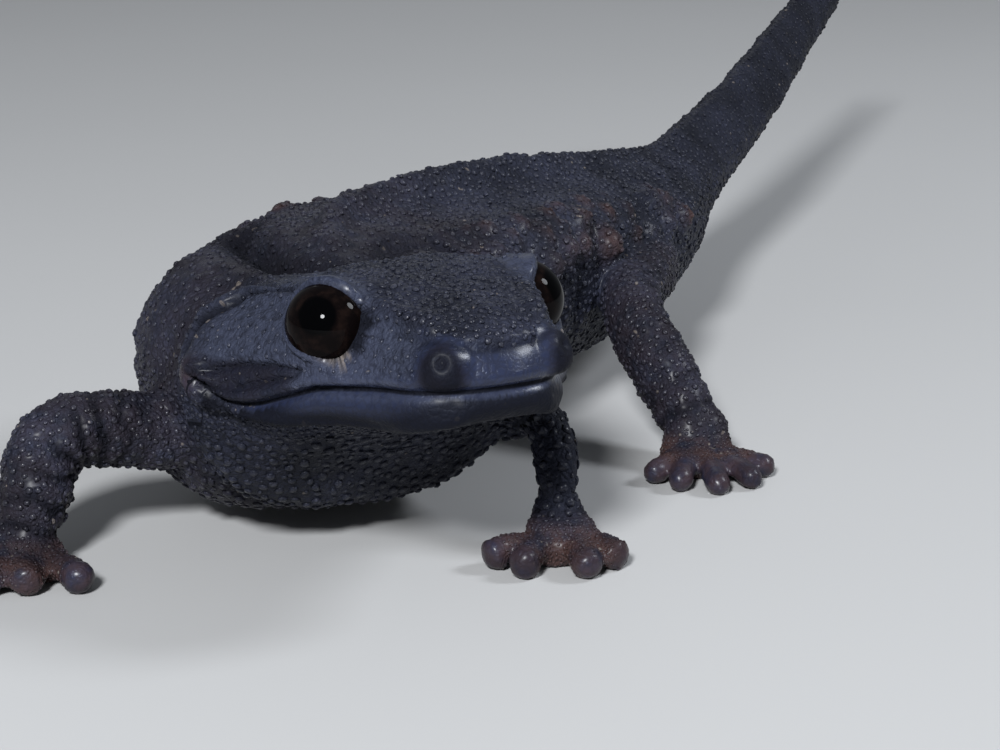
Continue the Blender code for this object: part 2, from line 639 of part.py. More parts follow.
def make_foot(limb, collection, cutters):
    """Palm and digits of one limb as one body, cut flat where it meets the floor."""
    spec, path = FEET[limb], LIMBS[limb]["path"]
    wrist, above = np.array(path[3], dtype=float), np.array(path[2], dtype=float)
    down = unit(wrist - above)
    heading = math.radians(spec["heading"])
    ahead = np.array([math.cos(heading), math.sin(heading), 0.0])
    across = np.array([-ahead[1], ahead[0], 0.0])
    ground = wrist * (1, 1, 0)
    palm_line = np.array([wrist, wrist + PALM["drop"] * down,
                          ground + ahead * PALM["bend"] + (0, 0, PALM["bend_level"]),
                          ground + ahead * spec["palm"] + (0, 0, PALM["end_level"])])
    wrist_radius = LIMBS[limb]["radii"][4]
    places = np.linspace(0, 1, PALM_ROWS)
    wide = smooth_curve([(0, wrist_radius), (0.45, 0.88 * spec["width"]), (0.85, spec["width"]),
                         (1.0, PALM["end_width"])])
    thick = smooth_curve(list(zip((0, 0.45, 0.85, 1.0), (wrist_radius, *PALM["thick"]))))
    rows = tube_rows(smooth_line(palm_line), places, wide(places), thick(places), PALM_COLUMNS, across)
    node = spec["node"] + "_" + limb.split("_")[1]
    palm = new_object(node, loft_mesh(node, rows), collection, BROWN)
    mirror = 1.0 if limb.endswith("right") else -1.0
    fan = ground + ahead * (spec["palm"] - PALM["spread"])
    digits = []
    for splay, length in spec["digits"]:
        turn = math.radians(splay) * mirror
        knuckle = fan + across * turn * PALM["spread"]
        digits.append(make_digit(knuckle, heading + turn, length, spec["digit"], cutters))
    apply_boolean(palm, "UNION", digits)
    floor = bpy.data.meshes.new("floor_cut")
    bm = bmesh.new()
    bmesh.ops.create_cube(bm, size=0.04)
    bmesh.ops.translate(bm, verts=bm.verts, vec=(wrist[0] * MM, wrist[1] * MM, -0.02))
    bm.to_mesh(floor)
    bm.free()
    end_rows = limb_rows(limb, 0.8, 1.0, 3, GAP)
    end_rows.append(end_rows[-1] + GAP * down)
    clearance = new_object("shank_clearance", loft_mesh("shank_clearance", end_rows), cutters)
    apply_boolean(palm, "DIFFERENCE", [new_object("floor_cut", floor, cutters), clearance])
    return palm


def smooth_line(points):
    """A smooth line through a few points, as 60 close ones."""
    axis = Axis(points)
    return axis.point(np.linspace(0, axis.at[-1], 60))


def make_body(parts, cutters, rng):
    """The lengths of head, neck, trunk and tail, with knobs on the trunk."""
    for name, start, end in BODY_NODES:
        rows = body_rows(start, end, ROW_STEP[name], COLUMNS[name])
        node = new_object(name, loft_mesh(name, rows), parts, SLATE)
        if name.startswith("torso"):
            apply_boolean(node, "UNION", rib_knobs(start, end, cutters, rng))
        if name == "head":
            finish_head(node, cutters)


def finish_head(head, cutters):
    """Lids joined on, then the sockets and nostrils cut."""
    apply_boolean(head, "UNION", [lid(side, cutters) for side in (-1, 1)])
    holes = []
    for side in (-1, 1):
        reach = EYE_RADIUS + GAP
        holes.append(ball("socket", cutters, eye_center(side), (reach,) * 3, eye_axis(side), 18, 11))
        pit = head_point(NOSTRIL[0] - NOSTRIL_PIT["ahead"], side * (NOSTRIL[1] + NOSTRIL_PIT["out"]),
                         NOSTRIL[2] + NOSTRIL_PIT["up"])
        outward = 0.6 * FORWARD + side * 0.8 * LEFT
        holes.append(ball("nostril", cutters, pit, NOSTRIL_PIT["radii"], outward, 10, 6))
    apply_boolean(head, "DIFFERENCE", holes)


def make_eyes(parts):
    for name, side in (("eye_right", -1), ("eye_left", 1)):
        eye = ball(name, parts, eye_center(side), (EYE_RADIUS,) * 3, eye_axis(side), 16, 10)
        material = bpy.data.materials.new(name + "_gloss")
        material.use_nodes = True
        shader = material.node_tree.nodes["Principled BSDF"]
        shader.inputs["Base Color"].default_value = (*EYE_BLACK, 1.0)
        shader.inputs["Roughness"].default_value = 0.06
        eye.data.materials.append(material)


def stand_on_origin(parts):
    """Move every mesh so that the model's box stands centred on the origin."""
    low = np.full(3, 1e9)
    high = -low
    for obj in parts.objects:
        xyz = np.array([v.co for v in obj.data.vertices])
        low, high = np.minimum(low, xyz.min(axis=0)), np.maximum(high, xyz.max(axis=0))
    shift = -np.array([(low[0] + high[0]) / 2, (low[1] + high[1]) / 2, low[2]])
    for obj in parts.objects:
        xyz = np.array([v.co for v in obj.data.vertices]) + shift
        obj.data.vertices.foreach_set("co", xyz.ravel())
        obj.data.update()
    return shift


def main():
    for obj in list(bpy.data.objects):
        bpy.data.objects.remove(obj)
    parts = bpy.data.collections.new("crocodile_newt")
    cutters = bpy.data.collections.new("cutters")
    for collection in (parts, cutters):
        bpy.context.scene.collection.children.link(collection)
    rng = random.Random(11)
    make_body(parts, cutters, rng)
    make_eyes(parts)
    for limb in LIMBS:
        make_limb(limb, parts, cutters)
        make_foot(limb, parts, cutters)
    return stand_on_origin(parts)


SHIFT = main()
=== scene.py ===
import math

import bpy
import numpy as np
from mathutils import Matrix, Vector
from mathutils.kdtree import KDTree


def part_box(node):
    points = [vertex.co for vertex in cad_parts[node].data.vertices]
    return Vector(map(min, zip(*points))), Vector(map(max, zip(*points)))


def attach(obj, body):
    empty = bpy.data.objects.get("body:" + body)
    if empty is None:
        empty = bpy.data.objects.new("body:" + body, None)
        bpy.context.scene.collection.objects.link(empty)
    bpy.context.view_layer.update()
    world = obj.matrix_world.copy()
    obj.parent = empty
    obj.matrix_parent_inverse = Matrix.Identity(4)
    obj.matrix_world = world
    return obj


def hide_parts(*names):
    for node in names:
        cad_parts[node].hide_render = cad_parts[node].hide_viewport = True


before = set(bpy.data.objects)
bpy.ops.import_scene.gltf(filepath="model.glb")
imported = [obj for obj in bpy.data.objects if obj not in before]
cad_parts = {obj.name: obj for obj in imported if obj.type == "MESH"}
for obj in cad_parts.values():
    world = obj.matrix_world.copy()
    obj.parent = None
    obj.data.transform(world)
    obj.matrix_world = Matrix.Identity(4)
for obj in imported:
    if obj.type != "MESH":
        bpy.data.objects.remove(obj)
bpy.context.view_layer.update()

mm = 0.001                     # shapes are worked out in millimetres and become metres in putMesh
rng = np.random.default_rng(20)
print("frame loaded:", len(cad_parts), "nodes")


# one smooth function through (place, value) pairs: cubic pieces that share their slopes
def smoothCurve(knots):
    places, values = np.array(knots, float).T
    slopes = np.gradient(values, places)

    def valueAt(x):
        x = np.clip(x, places[0], places[-1])
        i = np.clip(np.searchsorted(places, x, side="right") - 1, 0, len(places) - 2)
        span = places[i + 1] - places[i]
        t = (x - places[i]) / span
        rise = values[i + 1] - values[i]
        bendIn = slopes[i] * span - rise
        bendOut = rise - slopes[i + 1] * span
        return values[i] + t * rise + t * (1 - t) * ((1 - t) * bendIn + t * bendOut)

    return valueAt


def unit(v):
    return v / np.maximum(np.linalg.norm(v, axis=-1, keepdims=True), 1e-12)


# a bell: 1 at no distance and about a third at one width
def bell(distance, width):
    return np.exp(-(distance / width) ** 2)


# 0 before start and 1 after end, with a smooth rise between
def ramp(x, start, end):
    t = np.clip((x - start) / (end - start), 0, 1)
    return t * t * (3 - 2 * t)


# 1 before start and 0 after end, with a smooth fall between
def fall(x, start, end):
    return 1 - ramp(x, start, end)


# distance along a line to each of its points
def alongLengths(line):
    return np.concatenate([[0], np.cumsum(np.linalg.norm(np.diff(line, axis=0), axis=1))])


# soft random field, about -1 to 1: the mean of plane waves in random directions, one size across
def waves(points, size, seed, count=14):
    draw = np.random.default_rng(seed)
    ways = unit(draw.normal(size=(count, 3))) * math.tau / (size * draw.uniform(0.7, 1.5, (count, 1)))
    return np.sin(points @ ways.T + draw.uniform(0, 6.28, count)).sum(axis=-1) / math.sqrt(count)


# packed pebbles: one seed point in each cell of a jittered grid; 1 on a pebble's crown and 0 in the furrow
# where the nearest seed and the next are equally far
def pebbles(points, size, seed):
    cell = np.floor(points / size).astype(int)
    nearest, second = np.full(len(points), 9.0), np.full(len(points), 9.0)
    draw = np.random.default_rng(seed).uniform(0.1, 0.9, (4096, 3))
    for step in np.ndindex(3, 3, 3):
        own = cell + np.array(step) - 1
        jitter = draw[(own * (73, 179, 283)).sum(axis=1) % 4096]
        away = np.linalg.norm(own + jitter - points / size, axis=1)
        second = np.minimum(second, np.maximum(nearest, away))
        nearest = np.minimum(nearest, away)
    return np.clip((second - nearest) / 0.45, 0, 1) ** 0.7


# a smooth line through points, kept as close points with the distance along it and its direction
def lineThrough(points):
    points = np.array(points, float)
    chords = alongLengths(points)
    fine = np.linspace(0, chords[-1], 3000)
    line = np.stack([smooth(fine) for smooth in
                     [smoothCurve(np.stack([chords, points[:, k]], axis=1)) for k in range(3)]], axis=1)
    return dict(at=alongLengths(line), line=line, way=unit(np.gradient(line, axis=0)))


# rows of x, y and z read by straight steps between the places they stand at
def readBetween(x, places, rows):
    return np.stack([np.interp(x, places, rows[:, k]) for k in range(3)], axis=-1)


def pointAt(line, s):
    return readBetween(s, line["at"], line["line"])


# backward, left and up at each distance, up being as near to vertical as it can
def waysAt(line, s):
    back = unit(readBetween(s, line["at"], line["way"]))
    left = unit(np.cross(back, (0.0, 0.0, 1.0)))
    return back, left, np.cross(left, back)


headPose = dict(eyeMidpoint=(-0.29, -0.35, 14.79), yaw=29.0, pitch=6.0, length=17.5)
eye = dict(radius=2.19, back=8.2, out=5.7, rise=2.05, look=(0.71, 0.60, 0.38), rightOut=0.22, leftOut=-0.3)
yaw, pitch = math.radians(headPose["yaw"]), math.radians(headPose["pitch"])
forward = np.array([math.sin(yaw) * math.cos(pitch), -math.cos(yaw) * math.cos(pitch), math.sin(pitch)])
leftward = np.array([math.cos(yaw), math.sin(yaw), 0.0])
upward = np.cross(forward, leftward)
snoutTip = np.array(headPose["eyeMidpoint"]) + eye["back"] * forward - eye["rise"] * upward


def headPoint(back, out, rise):
    return snoutTip - back * forward + out * leftward + rise * upward


def eyeWay(side):
    ahead, out, up = eye["look"]
    return unit(ahead * forward + side * out * leftward + up * upward)


# the socket's middle, with the right ball standing out a little along its own axis and the left one drawn in
def eyeCentre(side):
    socket = headPoint(eye["back"], side * eye["out"], eye["rise"])
    return socket + eye["leftOut" if side > 0 else "rightOut"] * eyeWay(side)


body = dict(
    spine=[(-6.0, 10.7, 11.3), (-6.4, 13.8, 10.9), (-6.0, 16.9, 10.7), (-4.7, 19.9, 10.5), (-1.0, 25.8, 10.1),
           (3.2, 32.3, 9.8), (7.3, 38.8, 9.2), (10.8, 45.0, 8.8), (13.5, 50.6, 8.8), (15.7, 56.2, 9.4),
           (19.2, 65.2, 10.8), (23.1, 75.6, 12.7), (28.2, 90.6, 15.4), (32.0, 101.6, 17.2),
           (35.8, 113.0, 18.8)],
    tip=132.8, tailClose=130.2, tailRound=2.75, blunt=3.2, bluntPower=2.2, overhang=0.45,
)
# each as (distance from the snout tip, size)
halfWidth = smoothCurve([(0, 4.3), (2, 4.7), (4, 5.3), (6, 6.4), (8.6, 7.9), (12, 9.5), (15, 10.5),
                         (16.4, 10.3), (18, 9.2), (20, 8.6), (23, 8.8), (28, 9.1), (36, 8.7), (44, 7.5),
                         (52, 6.5), (58, 5.9), (64, 5.1), (68, 4.2), (73, 3.3), (82, 2.8), (96, 2.4),
                         (112, 1.8), (126, 1.1), (132.8, 0.5)])
topHeight = smoothCurve([(0, 2.2), (2, 2.6), (4, 3.1), (6, 3.6), (8.6, 4.0), (12, 4.1), (15, 3.8),
                         (17.5, 3.6), (20, 4.2), (23, 4.8), (27, 5.2), (34, 5.4), (44, 5.3), (54, 5.0),
                         (62, 4.5), (68, 3.8), (76, 3.3), (90, 2.9), (110, 2.4), (126, 1.6), (132.8, 0.7)])
bottomDepth = smoothCurve([(0, 2.1), (2, 2.7), (4, 3.2), (6, 3.7), (8.6, 4.5), (12, 6.4), (15, 8.5),
                           (18, 9.8), (22, 9.7), (28, 8.8), (36, 7.8), (44, 7.1), (52, 6.6), (60, 5.7),
                           (66, 4.7), (70, 3.8), (76, 3.1), (90, 2.7), (110, 2.3), (126, 1.5), (132.8, 0.7)])
widestLevel = smoothCurve([(0, -0.7), (4, -0.7), (8, -0.75), (9.2, -0.9), (10.6, -1.6), (12, -1.95),
                           (13.5, -1.9), (15, -1.4), (16.5, -1.1), (18, -1.2), (23, -1.0), (30, 0.2),
                           (50, 0.4), (66, 0.3), (76, 0.0), (133, 0.0)])
upperBox = smoothCurve([(0, 2.1), (6, 2.4), (12, 2.7), (16, 2.6), (22, 2.3), (32, 2.4), (56, 2.3), (68, 2.0),
                        (78, 1.75), (133, 1.7)])
lowerBox = smoothCurve([(0, 3.0), (8, 3.0), (12, 2.6), (15, 2.2), (18, 2.8), (21, 3.5), (26, 3.4), (34, 2.8),
                        (56, 2.4), (68, 2.0), (78, 1.75), (133, 1.7)])
ridgeHeight = smoothCurve([(0, 0), (17, 0.0), (21, 0.5), (26, 1.0), (60, 0.95), (70, 0.6), (84, 0.45),
                           (110, 0.35), (133, 0.1)])
bodyLine = lineThrough([headPoint(s, 0, 0) for s in (0, 6, 12, headPose["length"])] + body["spine"])


# of the half section above or below the widest level: that level, the superellipse's power and the reach
def halfSection(s, above):
    level = widestLevel(s)
    reach = np.where(above, topHeight(s) - level, bottomDepth(s) + level)
    return level, np.where(above, upperBox(s), lowerBox(s)), reach


# across and up from the line: a superellipse with its own power above and below the widest level,
# closed toward the snout and the tail's tip by a rounded share of its size
def bodySection(s, angle):
    start = np.clip(s / body["blunt"], 0, 1)
    end = np.clip((s - body["tailClose"]) / body["tailRound"], 0, 1)
    close = (1 - (1 - start) ** body["bluntPower"]) ** (1 / body["bluntPower"]) * np.sqrt(1 - end ** 2)
    c, h = np.cos(angle), np.sin(angle)
    level, power, reach = halfSection(s, h >= 0)
    across = halfWidth(s) * close * np.sign(c) * np.abs(c) ** (2 / power)
    return across, level + reach * close * np.sign(h) * np.abs(h) ** (2 / power)


# the line's point plus across times left and rise times up, with the snout leaning a little forward
def bodyPlain(s, angle):
    across, rise = bodySection(s, angle)
    back, left, up = waysAt(bodyLine, s)
    lean = body["overhang"] * bell(s, 2.5) * np.clip(np.sin(angle), 0, 1)
    return pointAt(bodyLine, s) + across[..., None] * left + rise[..., None] * up - lean[..., None] * back


# distance along the line, across and up for any points: the nearest of coarse samples, then three
# straight projections on the line's direction
def bodyPlaces(points):
    coarse = np.linspace(0, bodyLine["at"][-1], 300)
    samples = pointAt(bodyLine, coarse)
    nearest = np.concatenate([np.argmin((samples ** 2).sum(1) - 2 * part @ samples.T, axis=1)
                              for part in np.array_split(points, max(1, len(points) // 20000))])
    s = coarse[nearest]
    for turn in range(3):
        back = waysAt(bodyLine, s)[0]
        s = np.clip(s + ((points - pointAt(bodyLine, s)) * back).sum(-1), 0, bodyLine["at"][-1])
    back, left, up = waysAt(bodyLine, s)
    offset = points - pointAt(bodyLine, s)
    return s, (offset * left).sum(-1), (offset * up).sum(-1)


# the angle of a section that looks toward this place, by undoing the superellipse's powers
def bodyAngle(s, across, rise):
    level, power, reach = halfSection(s, rise >= widestLevel(s))
    c = np.sign(across) * np.abs(across / halfWidth(s)) ** (power / 2)
    h = np.sign(rise - level) * np.abs((rise - level) / reach) ** (power / 2)
    return np.arctan2(h, c)


# distance from (x, y) to a bent line in the same plane
def lineDistance(x, y, corners):
    best = np.full(np.shape(x), 1e9)
    for (x0, y0), (x1, y1) in zip(corners[:-1], corners[1:]):
        dx, dy = x1 - x0, y1 - y0
        t = np.clip(((x - x0) * dx + (y - y0) * dy) / (dx * dx + dy * dy), 0, 1)
        best = np.minimum(best, np.hypot(x - x0 - t * dx, y - y0 - t * dy))
    return best


# how deep in a crease along a bent line: a bell of the distance to it
def creaseShare(x, y, crease):
    return bell(lineDistance(x, y, crease["course"]), crease["width"])


trunk = dict(
    shoulder=dict(place=23.0, level=-1.5, width=4.5, right=2.1, left=0.4, inner=4.0, outer=7.5),
    chest=dict(place=23.0, level=-7.5, width=3.2, right=1.3, left=0.2, inner=2.5, outer=6.0),
    ridgeWidth=0.95,
    hollow=dict(depth=0.4, side=3.5, width=1.7),
    rib=dict(height=0.3, level=0.6, width=4.2, step=3.2, first=28.0),
    throatFold=dict(depth=0.4, place=18.8, width=0.8),
    napeFold=dict(course=[(16.6, 1.5), (18.1, 2.5), (19.5, 3.3), (22.6, 4.1), (27.2, 6.4)], width=0.95,
                  depth=1.45, left=0.45),
    neckFold=dict(start=16.5, steep=0.8, end=21.5, inner=4.8, depth=1.15, level=-3.0),
    throatWrinkle=dict(depth=0.09, step=1.15, first=7.5, last=17.5, top=-3.6),
    flankFold=dict(depth=0.13, step=1.7, first=34.0, last=56.0, level=-1.2, width=3.4),
    keel=dict(height=0.3, width=0.9),
)


# how deep in the slanting folds behind the crown, deeper on the right, which the neck bends toward
def napeShare(s, across, rise):
    fold = trunk["napeFold"]
    near = creaseShare(s, np.abs(across), fold)
    return near * ramp(rise, 0.0, 2.5) * np.where(across < 0, 1.0, fold["left"])


# how deep in the crease that sets the back of the head off from the neck
def neckShare(s, side, rise):
    fold = trunk["neckFold"]
    start, inner, level = fold["start"], fold["inner"], fold["level"]
    along = ramp(s, start, start + fold["steep"]) * fall(s, start + 1.5, fold["end"])
    return along * ramp(side, inner, inner + 2.0) * ramp(rise, level, level + 1.5)


# broad forms of neck, trunk and tail: each a height times bells and ramps of its place
def trunkForm(s, across, rise):
    side = np.abs(across)
    upper = (rise > widestLevel(s)) * 1.0
    throat, wrinkle, flank = trunk["throatFold"], trunk["throatWrinkle"], trunk["flankFold"]
    d = -throat["depth"] * bell(s - throat["place"], throat["width"]) * fall(rise, -4.5, -2.5)
    for swell in (trunk["shoulder"], trunk["chest"]):
        near = bell(np.hypot(s - swell["place"], rise - swell["level"]), swell["width"])
        near = near * ramp(side, swell["inner"], swell["outer"])
        d += near * np.where(across < 0, swell["right"], swell["left"])
    d -= (napeShare(s, across, rise) * trunk["napeFold"]["depth"]
          + neckShare(s, side, rise) * trunk["neckFold"]["depth"])
    bent = s + 0.5 * np.sin(1.3 * rise + 0.9 * across) + 0.35 * np.sin(0.8 * across)
    for rows, share in ((wrinkle, fall(rise, wrinkle["top"], -2.6)),
                        (flank, bell(rise - flank["level"], flank["width"]))):
        reach = ramp(s, rows["first"], rows["first"] + 2) * fall(s, rows["last"] - 3, rows["last"])
        d -= rows["depth"] * share * reach * np.cos(math.tau * bent / rows["step"])
    d += ridgeHeight(s) * bell(across, trunk["ridgeWidth"]) * upper
    middle = ramp(s, 24.0, 29.0) * fall(s, 60.0, 68.0)
    hollow, rib, keel = trunk["hollow"], trunk["rib"], trunk["keel"]
    d -= hollow["depth"] * middle * bell(side - hollow["side"], hollow["width"]) * upper
    onRibs = bell(rise - rib["level"], rib["width"]) * ramp(side, 4.5, 6.5)
    d += rib["height"] * middle * onRibs * np.cos(math.tau * (s - rib["first"]) / rib["step"])
    return d + keel["height"] * ramp(s, 70.0, 76.0) * bell(across, keel["width"]) * (1 - upper)


foreSize = dict(radii=[2.8, 2.1, 2.0, 2.05, 1.6], palm=2.5, width=2.2, digit=0.84)
hindSize = dict(radii=[3.0, 2.35, 1.85, 1.95, 1.7], palm=3.6, width=2.5, digit=0.7,
                digits=[(52, 1.8), (26, 2.9), (2, 3.6), (-22, 3.3), (-50, 2.0)])
limbs = dict(
    foreRight=dict(foreSize, heading=-84, mirror=1, digits=[(36, 2.8), (3, 2.1), (-27, 2.5), (-58, 1.7)],
                   path=[(-8.0, 10.4, 6.8), (-13.0, 7.8, 5.8), (-20.9, 3.9, 7.4), (-21.9, 1.5, 2.3)]),
    foreLeft=dict(foreSize, heading=-80, mirror=-1, digits=[(68, 1.6), (34, 2.4), (-9, 2.5), (-37, 1.8)],
                  path=[(-2.6, 14.6, 7.4), (1.8, 12.4, 6.6), (6.2, 7.0, 7.2), (6.5, 4.2, 2.3)]),
    hindLeft=dict(hindSize, heading=-78, mirror=-1,
                  path=[(9.4, 43.4, 8.4), (13.0, 39.0, 8.0), (11.1, 26.3, 8.3), (14.9, 20.4, 2.4)]),
    hindRight=dict(hindSize, heading=178, mirror=1,
                   path=[(10.4, 45.6, 8.4), (5.8, 49.6, 7.8), (-2.4, 55.2, 8.0), (-4.4, 63.0, 2.4)]),
)
limbShape = dict(rounding=3.3, points=200, drop=0.6, bend=1.2, bendLevel=1.15, endLevel=0.6,
                 thick=(1.35, 0.95, 0.6), endWidth=1.5, spread=1.5, digitLevel=0.8, overlap=1.2, arch=0.25,
                 tipLevel=0.72, palmRings=24, digitRings=30)


# the limb's line with each corner replaced by a quadratic arc, evenly spaced
def limbCourse(points):
    points = [np.array(p, float) for p in points]
    line = [points[0]]
    t = np.linspace(0, 1, 12)[:, None]
    for before, corner, after in zip(points[:-2], points[1:-1], points[2:]):
        reachIn = min(limbShape["rounding"], 0.48 * np.linalg.norm(corner - before))
        reachOut = min(limbShape["rounding"], 0.48 * np.linalg.norm(after - corner))
        start = corner + unit(before - corner) * reachIn
        end = corner + unit(after - corner) * reachOut
        line.extend((1 - t) ** 2 * start + 2 * t * (1 - t) * corner + t * t * end)
    line = np.array(line + [points[-1]])
    lengths = alongLengths(line)
    even = np.linspace(0, lengths[-1], limbShape["points"])
    return readBetween(even, lengths, line)


for limb in limbs.values():
    limb["line"] = limbCourse(limb["path"])
    elbow = np.argmin(np.linalg.norm(limb["line"] - limb["path"][2], axis=1)) / (limbShape["points"] - 1)
    limb["radius"] = smoothCurve(list(zip([0, 0.5 * elbow, elbow, 0.5 + 0.5 * elbow, 1.0], limb["radii"])))


# a closed tube: oval rings of the given half widths across a line, the flat way kept level, ends drawn to
# a point
def tube(line, wide, thick, columns, flatWay):
    flatWay = np.array(flatWay, float)
    way = unit(np.gradient(line, axis=0))
    side = unit(flatWay - (way @ flatWay)[:, None] * way)
    other = np.cross(way, side)
    turn = np.arange(columns) * math.tau / columns
    rings = (line[:, None] + (wide[:, None] * np.cos(turn))[..., None] * side[:, None]
             + (thick[:, None] * np.sin(turn))[..., None] * other[:, None])
    return closedGrid(rings)


# a grid of rings as points and triangles, wrapped round, with a pole at either end
def closedGrid(rings):
    rows, columns = rings.shape[:2]
    a = np.arange(rows * columns).reshape(rows, columns)
    b = np.roll(a, -1, axis=1)
    halves = [np.stack([a[:-1], b[:-1], b[1:]], axis=-1), np.stack([a[:-1], b[1:], a[1:]], axis=-1)]
    poles = rows * columns + np.arange(2)
    first = np.stack([np.full(columns, poles[0]), b[0], a[0]], axis=-1)
    last = np.stack([np.full(columns, poles[1]), a[-1], b[-1]], axis=-1)
    points = np.concatenate([rings.reshape(-1, 3), [rings[0].mean(axis=0)], [rings[-1].mean(axis=0)]])
    return points, np.concatenate([half.reshape(-1, 3) for half in halves] + [first, last])


def evenLine(points, count):
    line = lineThrough(points)
    return pointAt(line, np.linspace(0, line["at"][-1], count))


# one hand or foot: a flat palm that bends out from the wrist, and round-tipped digits fanned from inside it
def footTubes(limb):
    shape = limbShape
    wrist, above = (np.array(limb["path"][k], float) for k in (3, 2))
    down = unit(wrist - above)
    heading = math.radians(limb["heading"])
    ahead = np.array([math.cos(heading), math.sin(heading), 0.0])
    across = np.array([-ahead[1], ahead[0], 0.0])
    ground = wrist * (1, 1, 0)
    palmLine = evenLine([wrist - 0.5 * down, wrist + shape["drop"] * down,
                         ground + ahead * shape["bend"] + (0, 0, shape["bendLevel"]),
                         ground + ahead * limb["palm"] + (0, 0, shape["endLevel"])], shape["palmRings"])
    sections, wristRadius, width = (0, 0.45, 0.85, 1.0), limb["radii"][4], limb["width"]
    wide = smoothCurve(list(zip(sections, (wristRadius, 0.88 * width, width, shape["endWidth"]))))
    thick = smoothCurve(list(zip(sections, (wristRadius, *shape["thick"]))))
    u = np.linspace(0, 1, shape["palmRings"])
    tubes = [tube(palmLine, wide(u), thick(u), 28, across)]
    u = np.linspace(0, 1, shape["digitRings"])
    bulb = smoothCurve([(0, 0.92), (0.35, 0.88), (0.62, 0.95), (0.84, 1.1), (1.0, 1.0)])
    rounding = np.sqrt(1 - np.clip((u - 0.77) / 0.235, 0, 1) ** 2)
    for splay, length in limb["digits"]:
        turn = math.radians(splay) * limb["mirror"]
        knuckle = ground + ahead * (limb["palm"] - shape["spread"]) + across * turn * shape["spread"]
        way = np.array([math.cos(heading + turn), math.sin(heading + turn), 0.0])
        reach = length + shape["overlap"]
        route = evenLine([knuckle + (0, 0, shape["digitLevel"]),
                          knuckle + way * 0.5 * reach + (0, 0, limb["digit"] + shape["arch"]),
                          knuckle + way * (reach + 0.1) + (0, 0, limb["digit"] * shape["tipLevel"])],
                         shape["digitRings"])
        size = limb["digit"] * bulb(u) * rounding
        tubes.append(tube(route, size, size, 18, (0, 0, 1)))
    return tubes


# the shift from the photo's frame to the model's: the right eye's box gives it
low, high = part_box("eye_right")
shift = np.array((low + high) / 2) / mm - headPoint(eye["back"], -eye["out"], eye["rise"])


# a mesh object in metres from points in millimetres and rows of faces, shaded smooth
def putMesh(name, points, faces, material=None, moved=True):
    mesh = bpy.data.meshes.new(name)
    mesh.vertices.add(len(points))
    mesh.vertices.foreach_set("co", ((points + shift) * mm if moved else points).astype(np.float32).ravel())
    mesh.loops.add(faces.size)
    mesh.loops.foreach_set("vertex_index", faces.astype(np.int32).ravel())
    mesh.polygons.add(len(faces))
    mesh.polygons.foreach_set("loop_start", np.arange(len(faces), dtype=np.int32) * faces.shape[1])
    mesh.polygons.foreach_set("use_smooth", np.ones(len(faces), bool))
    mesh.update(calc_edges=True)
    mesh.validate()
    obj = bpy.data.objects.new(name, mesh)
    bpy.context.scene.collection.objects.link(obj)
    if material:
        mesh.materials.append(material)
    return obj


def setAttribute(obj, name, values):
    obj.data.attributes.new(name, "FLOAT", "POINT").data.foreach_set("value", values.astype(np.float32))


# rows of x, y and z added up at the points that the index names
def addUp(index, rows, count):
    return np.stack([np.bincount(index, rows[:, k], count) for k in range(3)], axis=1)


# each point's outward direction: the sum of its faces' diagonal products
def pointNormals(points, quads):
    product = np.cross(points[quads[:, 2]] - points[quads[:, 0]], points[quads[:, 3]] - points[quads[:, 1]])
    return unit(addUp(quads.ravel(), np.repeat(product, 4, axis=0), len(points)))


# each point moves by its strength toward the mean of its neighbours, round after round
def relax(points, edges, strength, rounds):
    one, other = edges.T
    count = np.bincount(edges.ravel(), minlength=len(points))[:, None]
    for turn in range(rounds):
        total = addUp(one, points[other], len(points)) + addUp(other, points[one], len(points))
        points = points + strength * (total / count - points)
    return points


skin = dict(voxel=0.4, focus=headPoint(6.0, -1.5, 0.0), focusRadius=10.0, zoom=2.4, columns=160)


# distances from the focus are stretched inside a radius, so that even voxels come out finer on the head
def stretch(points, inverse=False):
    away = points - skin["focus"]
    r = np.maximum(np.linalg.norm(away, axis=1, keepdims=True), 1e-9)
    radius, zoom = skin["focusRadius"], skin["zoom"]
    if inverse:
        new = np.where(r < radius * zoom, r / zoom, r - radius * (zoom - 1))
    else:
        new = np.where(r < radius, r * zoom, r + radius * (zoom - 1))
    return skin["focus"] + away * new / r


# the body's surface with its broad forms along its own normals, and the tubes of limbs, palms and digits
def sourceTubes():
    close = 18 * np.linspace(0.02, 1, 80) ** 1.5           # the head's rings stand closer toward the snout
    s = np.concatenate([close, np.arange(18.5, body["tip"], 0.5), [body["tip"]]])
    turn = np.arange(skin["columns"]) * math.tau / skin["columns"]
    s, turn = np.meshgrid(s, turn, indexing="ij")
    small = 1e-3
    along = bodyPlain(s + small, turn) - bodyPlain(s - small, turn)
    around = bodyPlain(s, turn + small) - bodyPlain(s, turn - small)
    across, rise = bodySection(s, turn)
    points = bodyPlain(s, turn) + trunkForm(s, across, rise)[..., None] * unit(np.cross(along, around))
    tubes = [closedGrid(points[:, ::-1])]
    for limb in limbs.values():
        radius = limb["radius"](np.linspace(0, 1, limbShape["points"]))
        tubes.append(tube(limb["line"], radius * 1.03, radius * 0.97, 36, (0.3, 0.2, 1.0)))
        tubes.extend(footTubes(limb))
    return tubes


# one row of values for each item of a mesh
def fetch(items, name, width, kind):
    values = np.empty(len(items) * width, kind)
    items.foreach_get(name, values)
    return values.reshape(-1, width)


